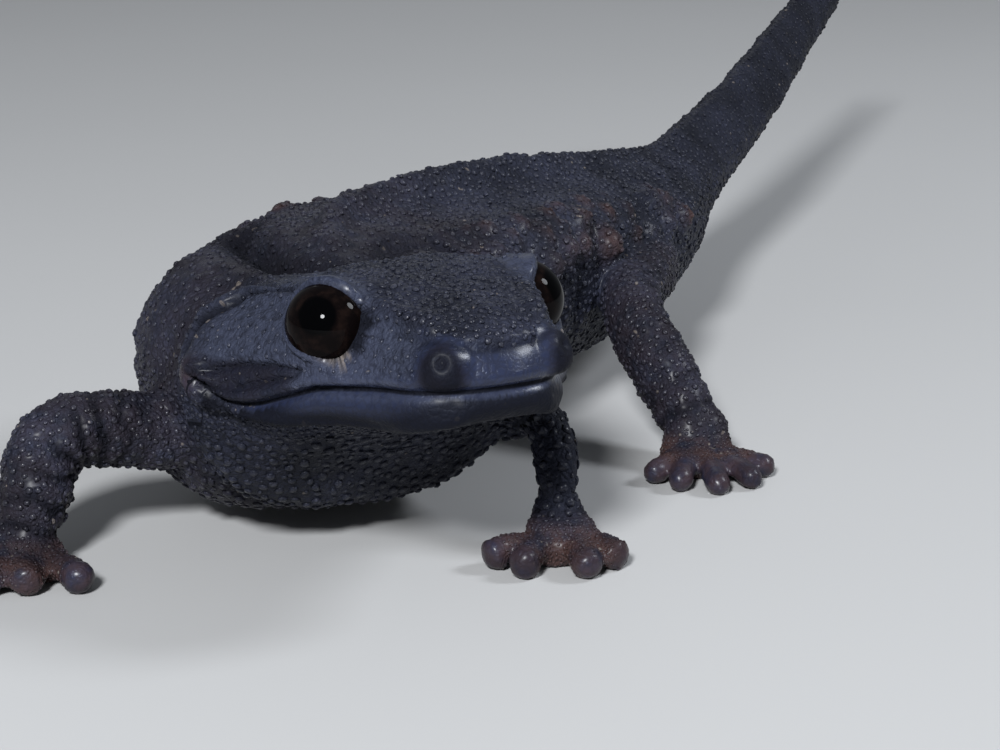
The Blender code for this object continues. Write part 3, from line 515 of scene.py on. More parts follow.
# all tubes as one closed surface: joined, stretched, voxel remeshed and drawn back
def remeshed():
    tubes = sourceTubes()
    starts = np.cumsum([0] + [len(points) for points, faces in tubes[:-1]])
    points = np.concatenate([points for points, faces in tubes])
    faces = np.concatenate([own[1] + start for own, start in zip(tubes, starts)])
    source = putMesh("skinSource", stretch(points), faces, moved=False)
    modifier = source.modifiers.new("voxels", "REMESH")
    modifier.mode = "VOXEL"
    modifier.voxel_size = skin["voxel"]
    result = source.evaluated_get(bpy.context.evaluated_depsgraph_get()).to_mesh()
    points = fetch(result.vertices, "co", 3, np.float32).astype(float)
    quads = fetch(result.loops, "vertex_index", 1, np.int32).reshape(-1, 4)
    edges = fetch(result.edges, "vertices", 2, np.int32)
    bpy.data.objects.remove(source)
    return stretch(points, True), quads, edges


points, quads, edges = remeshed()
print("skin remeshed:", len(points), "points", len(quads), "quads")
for turn in range(4):            # inward and outward by turns, so that no thickness is lost
    for strength in (0.5, -0.53):
        points = relax(points, edges, strength, 1)

s, across, rise = bodyPlaces(points)
side = np.abs(across)
angle = bodyAngle(s, across, rise)
plainAcross, plainRise = bodySection(s, angle)
outside = np.hypot(across, rise - widestLevel(s)) - np.hypot(plainAcross, plainRise - widestLevel(s))


# distance to each limb's line less its radius there, the smallest of the four, and the share along it
def limbNearness(points):
    best = np.full(len(points), 1e9)
    share = np.zeros(len(points))
    for limb in limbs.values():
        squared = (points ** 2).sum(1)[:, None] + (limb["line"] ** 2).sum(1) - 2 * points @ limb["line"].T
        away = np.sqrt(np.maximum(squared, 0)) - limb["radius"](np.linspace(0, 1, limbShape["points"]))
        nearest = away.min(axis=1)
        share = np.where(nearest < best, away.argmin(axis=1) / (limbShape["points"] - 1), share)
        best = np.minimum(best, nearest)
    return best, share


# distance along the floor to the nearest wrist
def wristDistance(points):
    return np.min([np.hypot(*(points[:, :2] - limb["path"][3][:2]).T) for limb in limbs.values()], axis=0)


limbAway, limbShare = limbNearness(points)
onFoot = fall(points[:, 2], 2.0, 3.2) * (wristDistance(points) < 8.5) * ramp(outside, 0.0, 1.0)
onLimb = np.maximum(ramp(outside, 0.2, 1.4) * fall(limbAway, 0.5, 1.3) * (s > 15), onFoot)
onBody = 1 - onLimb
junction = bell(outside - 0.4, 1.1) * fall(limbAway, 0.4, 1.5) * (s > 15)
points = relax(points, edges, 0.5 * junction[:, None], 16)
print("limbs blended")

head = dict(
    ridge=dict(course=[(2.6, 2.7), (5.5, 4.2), (8.6, 4.9), (11.4, 6.2), (15.0, 7.2), (15.9, 9.2)], height=0.5,
               width=0.6),
    groove=dict(course=[(10.4, 5.0), (12.5, 5.7), (15.6, 6.2)], depth=0.3, width=0.35),
    crown=dict(height=0.24, edge=1.3, slope=0.2, side=3.9, soft=0.45, crest=0.22, crestWidth=0.8),
    brow=dict(height=0.6, width=2.0, place=8.4, side=5.0),
    nostril=dict(place=(1.25, 2.95, 0.5), radius=1.55, height=0.85),
    knob=dict(place=(14.7, 10.5, -0.65), height=0.75, width=1.05),
    jaw=dict(setback=0.9, soft=0.2),
    mouthEnd=14.9,
)
# how high the mouth's line and the jaw's rim run, beside the body's line
mouthLevel = smoothCurve([(0, -0.7), (4, -0.72), (5.6, -0.8), (7.5, -0.98), (8.3, -1.22), (9.4, -1.55),
                          (10.5, -1.85), (11.6, -1.95), (12.9, -1.8), (13.5, -1.5), (14.1, -1.0),
                          (14.6, -0.75), (17, -0.7)])
jawRim = smoothCurve([(0, -1.35), (0.45, -1.45), (0.8, -1.75), (1.5, -1.98), (3.4, -2.42), (6, -2.7),
                      (8.4, -2.85), (10.3, -2.65), (11.8, -2.55), (13.2, -2.3), (17, -2.3)])
overMouth, overRim = rise - mouthLevel(s), rise - jawRim(s)


# distance to a form's own place, given as along, out and up
def distanceTo(form):
    along, out, level = form["place"]
    return np.sqrt((s - along) ** 2 + (side - out) ** 2 + (rise - level) ** 2)


toNostril, toKnob = distanceTo(head["nostril"]), distanceTo(head["knob"])
# height over a line that climbs from the snout's front edge; 1 on the crown's rough plate above it
crown = head["crown"]
inner, outer = crown["side"] - crown["soft"], crown["side"] + crown["soft"]
overCrown = rise - crown["edge"] - crown["slope"] * s
onCrown = ramp(overCrown, -0.15, 0.2) * fall(side, inner, outer)


# broad forms of the head: jaw edge, crown, ridges, brows, nostril bulbs and corner knobs, each a height times
# bells and ramps of its place
def headForm():
    jaw, ridge, brow, nostril = head["jaw"], head["ridge"], head["brow"], head["nostril"]
    upper = (rise > widestLevel(s)) * 1.0
    below = ramp(-overRim, -jaw["soft"], jaw["soft"])
    d = -jaw["setback"] * below * ramp(s, 0.2, 2.0) * fall(s, 13.0, 16.5)
    line = ridge["height"] * (creaseShare(s, side, ridge) * ramp(rise, 0.5, 2.0))
    line -= head["groove"]["depth"] * creaseShare(s, side, head["groove"])
    crest = crown["crest"] * (bell(side, crown["crestWidth"]) * ramp(s, 7.0, 10.0))
    d += (line + crown["height"] * onCrown + crest) * upper * fall(s, 16.0, headPose["length"])
    d += brow["height"] * bell(np.hypot(s - brow["place"], side - brow["side"]), brow["width"]) * upper
    d += nostril["height"] * np.clip(1 - (toNostril / nostril["radius"]) ** 2, 0, 1) ** 1.6
    return d + head["knob"]["height"] * bell(toKnob, head["knob"]["width"])


normals = pointNormals(points, quads)
points = points + (headForm() * onBody)[:, None] * normals

# the chin's front drops a little, and the jaws' left side draws in toward the chin
chin = dict(drop=0.45, tuck=0.65)
lower = ramp(-overMouth, 0.2, 1.3) * fall(s, 2.5, 7.0)
inward = ramp(0.9 - overMouth, 0.0, 1.4) * ramp(across, 1.5, 4.0) * fall(s, 3.0, 8.0)
points = (points - (chin["drop"] * lower * onBody)[:, None] * upward
          - (chin["tuck"] * inward * onBody)[:, None] * leftward)

face = dict(
    mouth=dict(depth=0.45, width=0.2),
    upperLip=dict(height=0.13, width=0.4, level=0.5),
    lowerLip=dict(height=0.3, width=0.52, level=-0.9),
    jawEdge=dict(height=0.16, width=0.2, above=0.14),
    rearLip=dict(height=0.5, width=0.42, level=0.42, place=11.2, length=2.3),
    folds=dict(upper=[(8.0, 0.0), (9.5, 0.17), (11.5, 0.05), (13.2, -0.31), (14.3, -0.45)],
               lower=[(8.2, -0.29), (9.2, -0.51), (11.4, -1.09), (13.4, -1.17), (14.2, -0.9)],
               depth=0.34, width=0.15),
    cheek=dict(course=[(10.6, 6.0), (12.8, 6.6), (14.4, 7.3), (14.9, 8.4), (15.5, 9.3), (16.0, 10.1),
                       (15.6, 10.7)], depth=0.5, width=0.19),
    pit=dict(place=(0.9, 3.12, 0.7), depth=0.34, width=0.3),
)
toPit = distanceTo(face["pit"])
# how deep in the two lengthwise folds above the mouth's corner, and in the crease that runs from behind the
# eye round the cheek's upper and rear edge
inFolds = bell(np.minimum(lineDistance(s, rise, face["folds"]["upper"]),
                          lineDistance(s, rise, face["folds"]["lower"])), face["folds"]["width"])
inCheek = creaseShare(s, side, face["cheek"]) * ramp(rise, -0.7, 0.3)
# 1 on the smooth dark flap above the mouth's corner
onFlap = ramp(overMouth, 0.0, 0.2) * fall(rise, 0.0, 0.4) * ramp(s, 8.0, 9.0) * fall(s, 14.4, 15.2)


# fine forms of the mouth: a narrow groove between two lips, a full rear lip with two folds above it
def mouthForm():
    mouth, rear, edge, end = face["mouth"], face["rearLip"], face["jawEdge"], head["mouthEnd"]
    d = -mouth["depth"] * bell(overMouth, mouth["width"]) * (0.45 + 0.55 * ramp(s, 0.8, 3.0))
    for lip in (face["upperLip"], face["lowerLip"]):
        d += lip["height"] * bell(overMouth - lip["level"], lip["width"])
    d += edge["height"] * bell(overRim - edge["above"], edge["width"]) * fall(s, 11, 13)
    lip = rear["height"] * bell(overMouth - rear["level"], rear["width"])
    d += lip * bell(s - rear["place"], rear["length"])
    d -= face["folds"]["depth"] * inFolds
    return d * fall(s, end - 0.5, end + 0.5) - face["cheek"]["depth"] * inCheek


normals = pointNormals(points, quads)
fine = mouthForm() * (s < 17) * onBody - face["pit"]["depth"] * bell(toPit, face["pit"]["width"])
points = points + fine[:, None] * normals

# how far the lids open from the eye's axis, in degrees, by the direction round it: 0 is ahead and 90 is up;
# the pale rim is given by its direction, spread, tilt, lean and width, all in degrees
lids = dict(
    right=[(-17, 88), (24, 82), (55, 58), (95, 50), (131, 57), (160, 70), (186, 78), (214, 68), (246, 61),
           (297, 64), (320, 77), (343, 88), (384, 82)],
    left=[(-17, 66), (24, 52), (55, 44), (95, 39), (131, 50), (160, 70), (186, 78), (214, 68), (246, 61),
          (297, 62), (320, 64), (343, 66), (384, 52)],
    soft=9.0, rim=0.12, upperMore=0.28, clear=0.05, sunk=0.35, near=0.45, far=1.15, inside=0.7,
    pale=dict(right=(320.0, 22.0, 66.0, 0.2, 4.0), left=(325.0, 9.0, 55.0, 0.0, 5.5)),
    corner=[(-35, 2.1), (-22, 2.45), (-15, 2.85), (4, 2.85), (20, 2.95), (31, 2.4), (40, 2.1)],
)


# around an eye the skin lies inside the ball within the opening and just outside it beyond: the lower lid is
# a thin rim and the upper one a thicker fold that runs into the brow
def aroundEye(points, side):
    own = "left" if side > 0 else "right"
    axis, radius = eyeWay(side), eye["radius"]
    ahead = unit(forward - (forward @ axis) * axis)
    above = unit(upward - (upward @ axis) * axis - (upward @ ahead) * ahead)
    away = points - eyeCentre(side)
    r = np.linalg.norm(away, axis=1)
    tilt = np.degrees(np.arccos(np.clip((away @ axis) / np.maximum(r, 1e-9), -1, 1)))
    turn = np.degrees(np.arctan2(away @ above, away @ ahead)) % 360
    past = tilt - smoothCurve(lids[own])(turn)
    upper = np.clip(np.sin(np.radians(turn)), 0, 1)
    rim = lids["rim"] * bell(past - 5, 6) + lids["upperMore"] * upper * ramp(past, 0, 5) * fall(past, 18, 38)
    outer = np.maximum(r, (radius + lids["clear"] + rim) * (past < 40))
    inner = np.minimum(r, radius - lids["sunk"])
    beyond = ramp(past, -lids["soft"], 0.15 * lids["soft"])
    reach = r - radius - lids["inside"] * ramp(-past, 0, 12)
    moved = r + fall(reach, lids["near"], lids["far"]) * (inner * (1 - beyond) + outer * beyond - r)
    rimShare = np.maximum(bell(past - 3, 6), 0.8 * upper * ramp(past, 0, 4) * fall(past, 20, 30))
    toward, spread, middle, lean, width = lids["pale"][own]
    aside = (turn - toward + 180) % 360 - 180
    paleShare = bell(tilt - middle - lean * aside, width) * bell(aside, spread)
    paleShare = paleShare * fall(moved - radius, 0.2, 0.36)
    # a share of painted shade for the opening's front corner
    corner = smoothCurve(lids["corner"])((turn + 180) % 360 - 180)
    cornerShade = ramp(corner - moved, -0.16, -0.04) * (tilt < 74)
    points = points + ((moved - r) / np.maximum(r, 1e-9))[:, None] * away
    return points, rimShare * (reach < lids["near"]), paleShare, cornerShade


points, rimRight, paleRight, eyeCornerShade = aroundEye(points, -1)
points, rimLeft, paleLeft = aroundEye(points, 1)[:3]
lidRim = np.maximum(rimRight, rimLeft)
points = relax(points, edges, 0.4 * lidRim[:, None], 3)
print("face formed")

warts = dict(rows=[dict(first=28.0, last=63.0, step=3.2, angle=14.0, size=1.15, rise=0.75),
                   dict(first=29.5, last=61.0, step=3.2, angle=33.0, size=0.95, rise=0.6),
                   dict(first=31.0, last=59.0, step=3.3, angle=48.0, size=0.75, rise=0.4)])


# wart centres on the flanks: rows at set angles, spaced along the body with some scatter
def wartCentres():
    found = []
    for row in warts["rows"]:
        for right in (0, 1):
            at = np.arange(row["first"] + 0.4 * right, row["last"], row["step"])
            at = at + rng.uniform(-0.8, 0.8, len(at))
            turn = np.radians(row["angle"] + rng.uniform(-4, 4, len(at)))
            turn = math.pi - turn if right else turn
            size = row["size"] * rng.uniform(0.7, 1.25, len(at))
            found.append(np.column_stack([bodyPlain(at, turn), size, row["rise"] * size / row["size"]]))
    return np.concatenate(found)


wartTable = wartCentres()
normals = pointNormals(points, quads)
wartShare = np.zeros(len(points))
wartWarm = 0.55 + 0.45 * waves(points, 9.0, 12)
wartLift = np.zeros(len(points))
for x, y, z, size, lift in wartTable:
    near = bell(np.linalg.norm(points - (x, y, z), axis=1), size * 0.78)
    wartLift = np.maximum(wartLift, lift * near)
    wartShare = np.maximum(wartShare, near)

texture = dict(swell=0.08, swellSize=2.6, ripple=0.04, rippleSize=1.2, headPebble=(0.03, 0.55),
               bodyPebble=(0.07, 1.05), bend=dict(depth=0.3, step=0.07, reach=4.4), digit=(0.075, 0.55),
               snoutRise=1.3)


# 1 where the skin is smooth and wet: the snout's front below the crown, the lower lip's band, and less so the
# upper lip, the folds at the mouth's corner, the nostril bulbs, the corner knobs and the lids
def smoothShare():
    uneven = 0.14 * waves(points, 1.6, 21)
    front = fall(s + 2 * uneven, 1.7, 2.6) * fall(rise + uneven - texture["snoutRise"] - 0.2 * s, -0.2, 0.2)
    lip = fall(overMouth, -0.1, 0.25) * ramp(overRim, -0.05, 0.15) * fall(s, 10.5, 12.5)
    upper = 0.85 * bell(overMouth - 0.4, 0.5) * fall(s + 3 * uneven, 6.5, 9.0)
    parts = [front, lip, upper, 0.5 * onFlap, 0.9 * fall(toNostril, 1.2, 1.6), 0.6 * bell(toKnob, 0.9),
             0.5 * lidRim]
    return np.clip(np.maximum.reduce(parts), 0, 1) * (s < 17)


# folds across the inner side of each elbow and knee and round the wrist, 1 in their depth
def bendFolds():
    inner = np.zeros(len(points))
    for limb in limbs.values():
        corner = np.array(limb["path"][2])
        toward = unit((np.array(limb["path"][1]) + limb["path"][3]) / 2 - corner)
        away = points - corner
        near = bell(np.linalg.norm(away, axis=1), texture["bend"]["reach"])
        inner = np.maximum(inner, near * ramp(away @ toward, -0.5, 1.5))
    course = limbShare + 0.012 * waves(points, 2.5, 9)
    folds = (0.5 + 0.5 * np.cos(math.tau * course / texture["bend"]["step"])) ** 2
    return (inner + 0.5 * bell(limbShare - 0.96, 0.06)) * folds * onLimb


# small relief: soft swells and ripples, packed pebbles, creases round the limbs' bends and along the digits
def skinRelief():
    onHead = fall(s, 16, 19)
    (headDepth, headSize), (bodyDepth, bodySize) = texture["headPebble"], texture["bodyPebble"]
    digitDepth, digitStep = texture["digit"]
    d = texture["swell"] * waves(points, texture["swellSize"], 3) * (1 - 0.7 * onHead)
    d += texture["ripple"] * waves(points, texture["rippleSize"], 4) * (1 - 0.5 * onHead)
    warped = points + 0.12 * np.stack([waves(points, 1.0, k) for k in (31, 32, 33)], axis=1)
    d += headDepth * pebbles(warped, headSize, 6) * onHead * (1 + 2.2 * onCrown)
    d += bodyDepth * pebbles(warped, bodySize, 7) * (1 - onHead) * (1 - 0.4 * ramp(s, 66, 80))
    toWrist = wristDistance(points)
    d -= texture["bend"]["depth"] * folded
    d -= digitDepth * onFoot * np.cos(math.tau * toWrist / digitStep) * fall(toWrist, 4.4, 5.2)
    return d * (1 - 0.85 * gloss) * (1 - 0.5 * onFoot)


folded = bendFolds()
gloss = smoothShare() * onBody
points = points + (wartLift * onBody + skinRelief())[:, None] * normals
points[:, 2] = np.maximum(points[:, 2], -shift[2])
print("warts and pebbles raised")


# what the finishes read at each point: how smooth, creased, warm, pale and light the skin is, from 0 to 1,
# and how far it lies above the mouth's line, in millimetres, which runs out past the mouth's corner; creased
# is painted shade in creases, folds and hollows, light a lighter tone with a painted highlight, and pale the
# lid's pale rim
def skinMarks():
    bulb = fall(toNostril - 0.35 * np.clip(0.5 - rise, -0.6, 0.8), 0.7, 1.4)
    underLipShade = fall(overRim, 0.5, 1.45) * ((overRim > 0.06) | (s < 1.8)) * (overMouth < -0.3) * (s < 14)
    # painted shade: the nostril's pit, the nape, neck and throat folds, the cheek crease, the folds at the
    # mouth's corner, toward the tail, under the jaw and below the lower lip, along the crown's edge and in
    # the eye's front corner; the flap above the mouth's corner and the nostril bulbs are darker too
    creaseShade = [
        bell(toPit, 0.32),
        napeShare(s, across, rise) ** 0.5,
        0.7 * neckShare(s, side, rise) * fall(s, 17.0, 18.4),
        0.5 * bell(s - trunk["throatFold"]["place"], 0.8) * fall(rise, -4.5, -2.5),
        inCheek ** 0.7,
        0.85 * inFolds * (s < 15),
        0.6 * onFlap,
        0.22 * ramp(s, 58, 76),
        0.3 * ramp(-overRim, 0.5, 2.0) * (s < 20),
        0.85 * bell(overRim + 0.45, 0.4) * fall(s, 12.5, 15.5) * (s < 17),
        0.97 * underLipShade,
        0.6 * (bell(overCrown + 0.15, 0.15) * fall(side, 3.4, 4.3) * (s < 9)),
        bulb,
        eyeCornerShade,
    ]
    toWrist = wristDistance(points)
    tips = ramp(toWrist, 3.8, 4.8)
    foot = onFoot * fall(points[:, 2] + shift[2], 1.2, 3.0)
    warm = np.maximum.reduce([
        0.85 * wartShare ** 1.1 * onBody * wartWarm,
        0.9 * foot * (1 - 0.4 * tips),
        0.5 * bell(toKnob, 0.75),
        0.14 * onLimb,
        0.1 * ramp(s, 16, 20) * fall(s, 30, 40),
        0.15 * bulb * onBody,
        0.12 * onFlap,
    ])
    # light: the cheeks and lid rims a lighter blue-grey, partly a painted sheen, and a painted highlight
    # strip along the lower lip's top, just under the mouth's line
    cheek = ramp(s, 1.5, 3.0) * fall(s, 13.5, 16.0) * ramp(overMouth, 0.15, 0.4) * (1 - onCrown)
    lipHighlight = bell(overMouth + 0.28, 0.24) * fall(s, 7.0, 9.0)
    light = np.maximum.reduce([cheek * (1 - onFlap) * (1 - bulb), 0.6 * lidRim * (s < 14), 0.8 * lipHighlight])
    line = np.clip(overMouth + 3 * ramp(s, head["mouthEnd"] - 0.6, head["mouthEnd"] + 0.5), -2, 2)
    return dict(
        gloss=np.maximum(gloss, onFoot * (0.1 + 0.25 * ramp(toWrist, 2.0, 3.2) + 0.45 * tips)),
        # the limbs' bend folds add painted shade
        crease=np.clip(np.maximum(np.maximum.reduce(creaseShade) * onBody, 1.5 * folded), 0, 0.95),
        warm=np.clip(warm, 0, 1),
        pale=np.clip(paleRight + paleLeft, 0, 1),
        light=np.clip(light * onBody, 0, 1),
        line=np.where((s < 17) & (onBody > 0.5), line, 2.0),
    )


marks = skinMarks()


# a socket that takes part in arithmetic; an expression adds its Math nodes
class Wire:
    def __init__(self, finish, socket):
        self.finish, self.socket = finish, socket

    def __add__(self, other):
        return self.finish.maths("ADD", self, other)

    def __sub__(self, other):
        return self.finish.maths("SUBTRACT", self, other)

    def __rsub__(self, other):
        return self.finish.maths("SUBTRACT", other, self)

    def __mul__(self, other):
        return self.finish.maths("MULTIPLY", self, other)

    __radd__ = __add__
    __rmul__ = __mul__


# one material: wire() puts in any node, settings first, then values or links, and gives one of its outputs
class Finish:
    def __init__(self, name):
        self.material = bpy.data.materials.new(name)
        self.material.use_nodes = True
        self.tree = self.material.node_tree
        self.shader = self.tree.nodes["Principled BSDF"]
        self.object = self.wire("ShaderNodeTexCoord", {}, {}, "Object")

    def wire(self, kind, settings, inputs, output=0):
        node = self.tree.nodes.new(kind)
        for key, value in settings.items():
            setattr(node, key, value)
        for key, value in inputs.items():
            self.connect(node.inputs[key], value)
        return Wire(self, node.outputs[output])

    def connect(self, socket, value):
        if isinstance(value, Wire):
            self.tree.links.new(value.socket, socket)
        elif socket.type == "RGBA" and len(value) == 3:
            socket.default_value = (*value, 1)
        else:
            socket.default_value = value

    def set(self, **values):
        for key, value in values.items():
            self.connect(self.shader.inputs[key.replace("_", " ")], value)

    def maths(self, operation, a, b):
        return self.wire("ShaderNodeMath", dict(operation=operation), {0: a, 1: b})

    def noise(self, scale, detail=3.0):
        return self.wire("ShaderNodeTexNoise", {},
                         {"Vector": self.object, "Scale": scale, "Detail": detail, "Roughness": 0.55})

    # packed cells, 1 on their crowns and 0 in the furrows between
    def cells(self, scale):
        edge = self.wire("ShaderNodeTexVoronoi", dict(feature="DISTANCE_TO_EDGE"),
                         {"Vector": self.object, "Scale": scale})
        return self.between(edge, 0.0, 0.28)

    def mark(self, name):
        return self.wire("ShaderNodeAttribute", dict(attribute_name=name), {}, "Fac")

    def between(self, x, start, end):
        return self.wire("ShaderNodeMapRange", dict(interpolation_type="SMOOTHSTEP"),
                         {"Value": x, "From Min": start, "From Max": end})

    def blend(self, share, a, b):
        return self.wire("ShaderNodeMix", dict(data_type="RGBA"), {0: share, 6: a, 7: b}, 2)


# the sheen colour is a painted sheen on smooth skin, light a lighter tone with a painted highlight, fold the
# painted shade of creases and the mouth's groove, tip a painted highlight on granule tops, and pale the
# colour of pale specks, painted glints and the lower lid's pale rim
slate = dict(deep=(0.009, 0.0098, 0.0155), mid=(0.026, 0.0285, 0.0465), brown=(0.058, 0.031, 0.026),
             paintedSheen=(0.0155, 0.0205, 0.046), light=(0.043, 0.050, 0.080), pale=(0.20, 0.17, 0.145),
             fold=(0.003, 0.003, 0.0045), tip=(0.062, 0.063, 0.082))
shine = dict(rough=0.56, glossRough=0.34, level=0.16, tint=(0.7, 0.78, 1.0), coat=0.5, coatRough=0.27,
             damp=0.12, bump=0.55, bumpDepth=0.00013, sparkle=(0.57, 0.64), wet=0.3, tipCoat=0.55, index=1.4)
# how many cells of each pattern stand on a metre of skin
perMetre = dict(broad=230, grain=2600, cells=2300, fineCells=4300, brown=800, speck=1500, sparkle=1900,
                swell=900)


# slate skin: two slates mixed by noise, darker in the furrows between cells as painted shade, brown where
# warm, a painted violet-blue sheen where smooth, and painted shade in creases and along the mouth's groove;
# two sizes of packed cells and a grain make the bump, and smooth parts carry a thin coat
def skinFinish(name, granule=False):
    f = Finish(name)
    smooth, warm = f.mark("gloss"), f.mark("warm")
    broad = f.between(f.noise(perMetre["broad"], 4), 0.34, 0.68)
    grain = f.noise(perMetre["grain"])
    cells = f.cells(perMetre["cells"])
    # two slates by broad noise, the deep one more in the furrows between the cells: painted shade
    colour = f.blend(broad * (0.45 + 0.55 * cells), slate["deep"], slate["mid"])
    # painted sheen: smooth skin goes toward a violet-blue, more on the cells' crowns
    colour = f.blend(smooth * (0.55 + 0.4 * cells), colour, slate["paintedSheen"])
    # lighter tone on cheeks and lids, and the painted highlight under the mouth's line
    colour = f.blend(f.mark("light") * (0.2 + 0.45 * f.between(grain, 0.3, 0.6)), colour, slate["light"])
    colour = f.blend(warm * f.between(f.noise(perMetre["brown"], 2), 0.2, 0.62), colour, slate["brown"])
    # pale specks, partly dirt and partly painted glints
    specksAndGlints = f.between(f.noise(perMetre["speck"], 1), 0.75, 0.79) * (1 - 0.5 * smooth) * 0.5
    colour = f.blend(specksAndGlints, colour, slate["pale"])
    colour = f.blend(f.mark("pale"), colour, slate["pale"])
    if granule:
        # granule tops painted lighter toward the tip: a painted highlight
        colour = f.blend(f.mark("tip") * 0.42 * f.between(grain, 0.38, 0.66), colour, slate["tip"])
    # painted shade: creases, folds, hollows and the mouth's groove go toward the near-black fold colour
    mouth = f.mark("line")
    dark = f.maths("MAXIMUM", f.mark("crease"), f.between(mouth * mouth, 0.028, 0.004))
    colour = f.blend(dark * 0.93, colour, slate["fold"])
    sparkle = f.between(f.noise(perMetre["sparkle"], 2), *shine["sparkle"]) * (1.0 if granule else 0.35)
    wet = shine["tipCoat"] * f.between(f.mark("tip"), 0.3, 0.9) if granule else 0.55 * sparkle
    rough = shine["rough"] + (shine["glossRough"] - shine["rough"]) * smooth - shine["wet"] * sparkle
    coat = f.maths("MAXIMUM", shine["damp"] + (shine["coat"] - shine["damp"]) * smooth, wet)
    pebbled = 0.9 * cells + 0.5 * f.cells(perMetre["fineCells"]) + 0.5 * grain
    height = (1 - smooth * 0.78) * pebbled + 0.35 * f.noise(perMetre["swell"])
    bump = f.wire("ShaderNodeBump", {}, {"Strength": shine["bump"], "Distance": shine["bumpDepth"],
                                         "Height": height})
    f.set(Base_Color=colour, Roughness=rough + 0.14 * (grain - 0.5) + 0.3 * dark, IOR=shine["index"],
          Coat_Weight=coat * (1 - dark), Coat_Roughness=shine["coatRough"], Specular_IOR_Level=shine["level"],
          Specular_Tint=shine["tint"], Normal=bump)
    return f.material


eyeLook = dict(pupil=(0.86, 0.93), iris=(0.0024, 0.0016, 0.0017), fleck=(0.0072, 0.0042, 0.0036),
               rim=(0.0015, 0.0012, 0.0013), black=(0.0006, 0.0006, 0.0008), rough=0.035, index=1.13,
               cornea=0.012)


# eyeball: black pupil, very dark brown iris with faint flecks and a darker rim, by how far each place
# faces along the eye's own axis
def eyeFinish(name, side):
    f = Finish(name)
    centre = (eyeCentre(side) + shift) * mm
    local = f.wire("ShaderNodeVectorMath", dict(operation="SUBTRACT"), {0: f.object, 1: tuple(centre)})
    facing = f.wire("ShaderNodeVectorMath", dict(operation="DOT_PRODUCT"),
                    {0: local, 1: tuple(eyeWay(side) / (eye["radius"] * mm))}, "Value")
    fleck = f.between(f.noise(1600, 4), 0.42, 0.72)
    colour = f.blend(fleck, eyeLook["iris"], eyeLook["fleck"])
    colour = f.blend(f.between(facing, 0.35, 0.1), colour, eyeLook["rim"])
    colour = f.blend(f.between(facing, *eyeLook["pupil"]), colour, eyeLook["black"])
    f.set(Base_Color=colour, Roughness=eyeLook["rough"] + 0.02 * fleck, IOR=eyeLook["index"])
    return f.material


skinMaterial = skinFinish("slateSkin")
granuleMaterial = skinFinish("slateGranules", True)

skinPiece = putMesh("newtSkin", points, quads, skinMaterial)
for name, values in marks.items():
    setAttribute(skinPiece, name, values)
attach(skinPiece, "root")
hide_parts(*[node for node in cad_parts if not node.startswith("eye_")])
print("skin:", len(quads) * 2, "triangles")


# rings round the eye's axis at even tilts; the radius swells a little toward the front, for the cornea
def eyeBall(side):
    axis = eyeWay(side)
    first = unit(np.cross(axis, upward))
    second = np.cross(axis, first)
    tilt = np.linspace(0.01, math.pi - 0.01, 60)[:, None]
    turn = np.arange(90)[None] * math.tau / 90
    r = eye["radius"] * (1 + eyeLook["cornea"] * bell(tilt, 0.7))
    out = r * np.sin(tilt)
    return closedGrid(eyeCentre(side) + (r * np.cos(tilt) + 0 * turn)[..., None] * axis
                      + (out * np.cos(turn))[..., None] * first + (out * np.sin(turn))[..., None] * second)


for name, node, sign in (("eyeballRight", "eye_right", -1), ("eyeballLeft", "eye_left", 1)):
    ball = putMesh(name, *eyeBall(sign), eyeFinish(name + "Gloss", sign))
    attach(ball, "root")
    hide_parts(node)
print("eyes set")


# a closed low dome: rings of a rounded cap, its base drawn to a point below the skin
def dome(sides, levels):
    a = np.arange(sides)
    b = np.roll(a, -1)
    rings, faces = [], []
    for k, (r, z) in enumerate(levels):
        turn = a * math.tau / sides + k * math.pi / sides
        rings.append(np.column_stack([r * np.cos(turn), r * np.sin(turn), np.full(sides, z)]))
    points = np.concatenate(rings + [[(0, 0, -0.6)], [(0, 0, 1.0)]])
    faces.append(np.column_stack([np.full(sides, len(points) - 2), b, a]))
    for low in sides * np.arange(len(levels) - 1):
        up = low + sides
        faces.append(np.column_stack([low + a, low + b, up + a]))
        faces.append(np.column_stack([low + b, up + b, up + a]))
    last = (len(levels) - 1) * sides
    faces.append(np.column_stack([last + a, last + b, np.full(sides, len(points) - 1)]))
    return points, np.concatenate(faces)


# pale is the share of small granules painted pale, as painted glints
granules = dict(tries=680000, spacing=2.0, height=0.55, perPiece=7000, head=0.072, crown=0.092, body=0.105,
                throat=0.145, limb=0.1, tail=0.075, spread=0.5, uneven=0.2, sides=7,
                levels=[(1.0, -0.2), (0.74, 0.6)], wide=(0.82, 1.18), high=(0.6, 1.35), pale=0.03,
                patch=0.0015)


# granule radius in millimetres by region: fine on head and tail, coarser on throat, trunk and limbs
def granuleSize():
    size = granules["head"] + (granules["crown"] - granules["head"]) * onCrown
    size = size + (granules["body"] - size) * ramp(s, 16, 22)
    size = size + (granules["tail"] - granules["body"]) * ramp(s, 64, 90)
    size = np.maximum(size, granules["throat"] * (ramp(-overRim, 0.8, 2.8) * (s < 24)))
    size = np.where(onLimb > 0.5, granules["limb"], size)
    return size * (1 - 0.5 * onFoot)


# how much wider than packed the granules stand: loosely on the cheeks, the snout's sides, neck and tail
def granuleRoom():
    room = 0.95 * fall(s, 15.5, 18) * (1 - onCrown) * ramp(overRim, 0.2, 0.8)
    room = np.maximum(room, 0.45 * ramp(s, 15.5, 18) * fall(s, 24, 30) * ramp(rise, -3.0, 0.0))
    room = np.maximum(room, 0.12 * (s > 20) + 0.5 * ramp(s, 66, 84))
    return 1 + room * (1 - onLimb) + 0.05 * onLimb


# values of the skin's points read at places on its quads: the sum over the corners, each times its share
def readOn(values, quad, corner):
    own = values[quads[quad]]
    return (own * (corner if own.ndim == 2 else corner[..., None])).sum(axis=1)


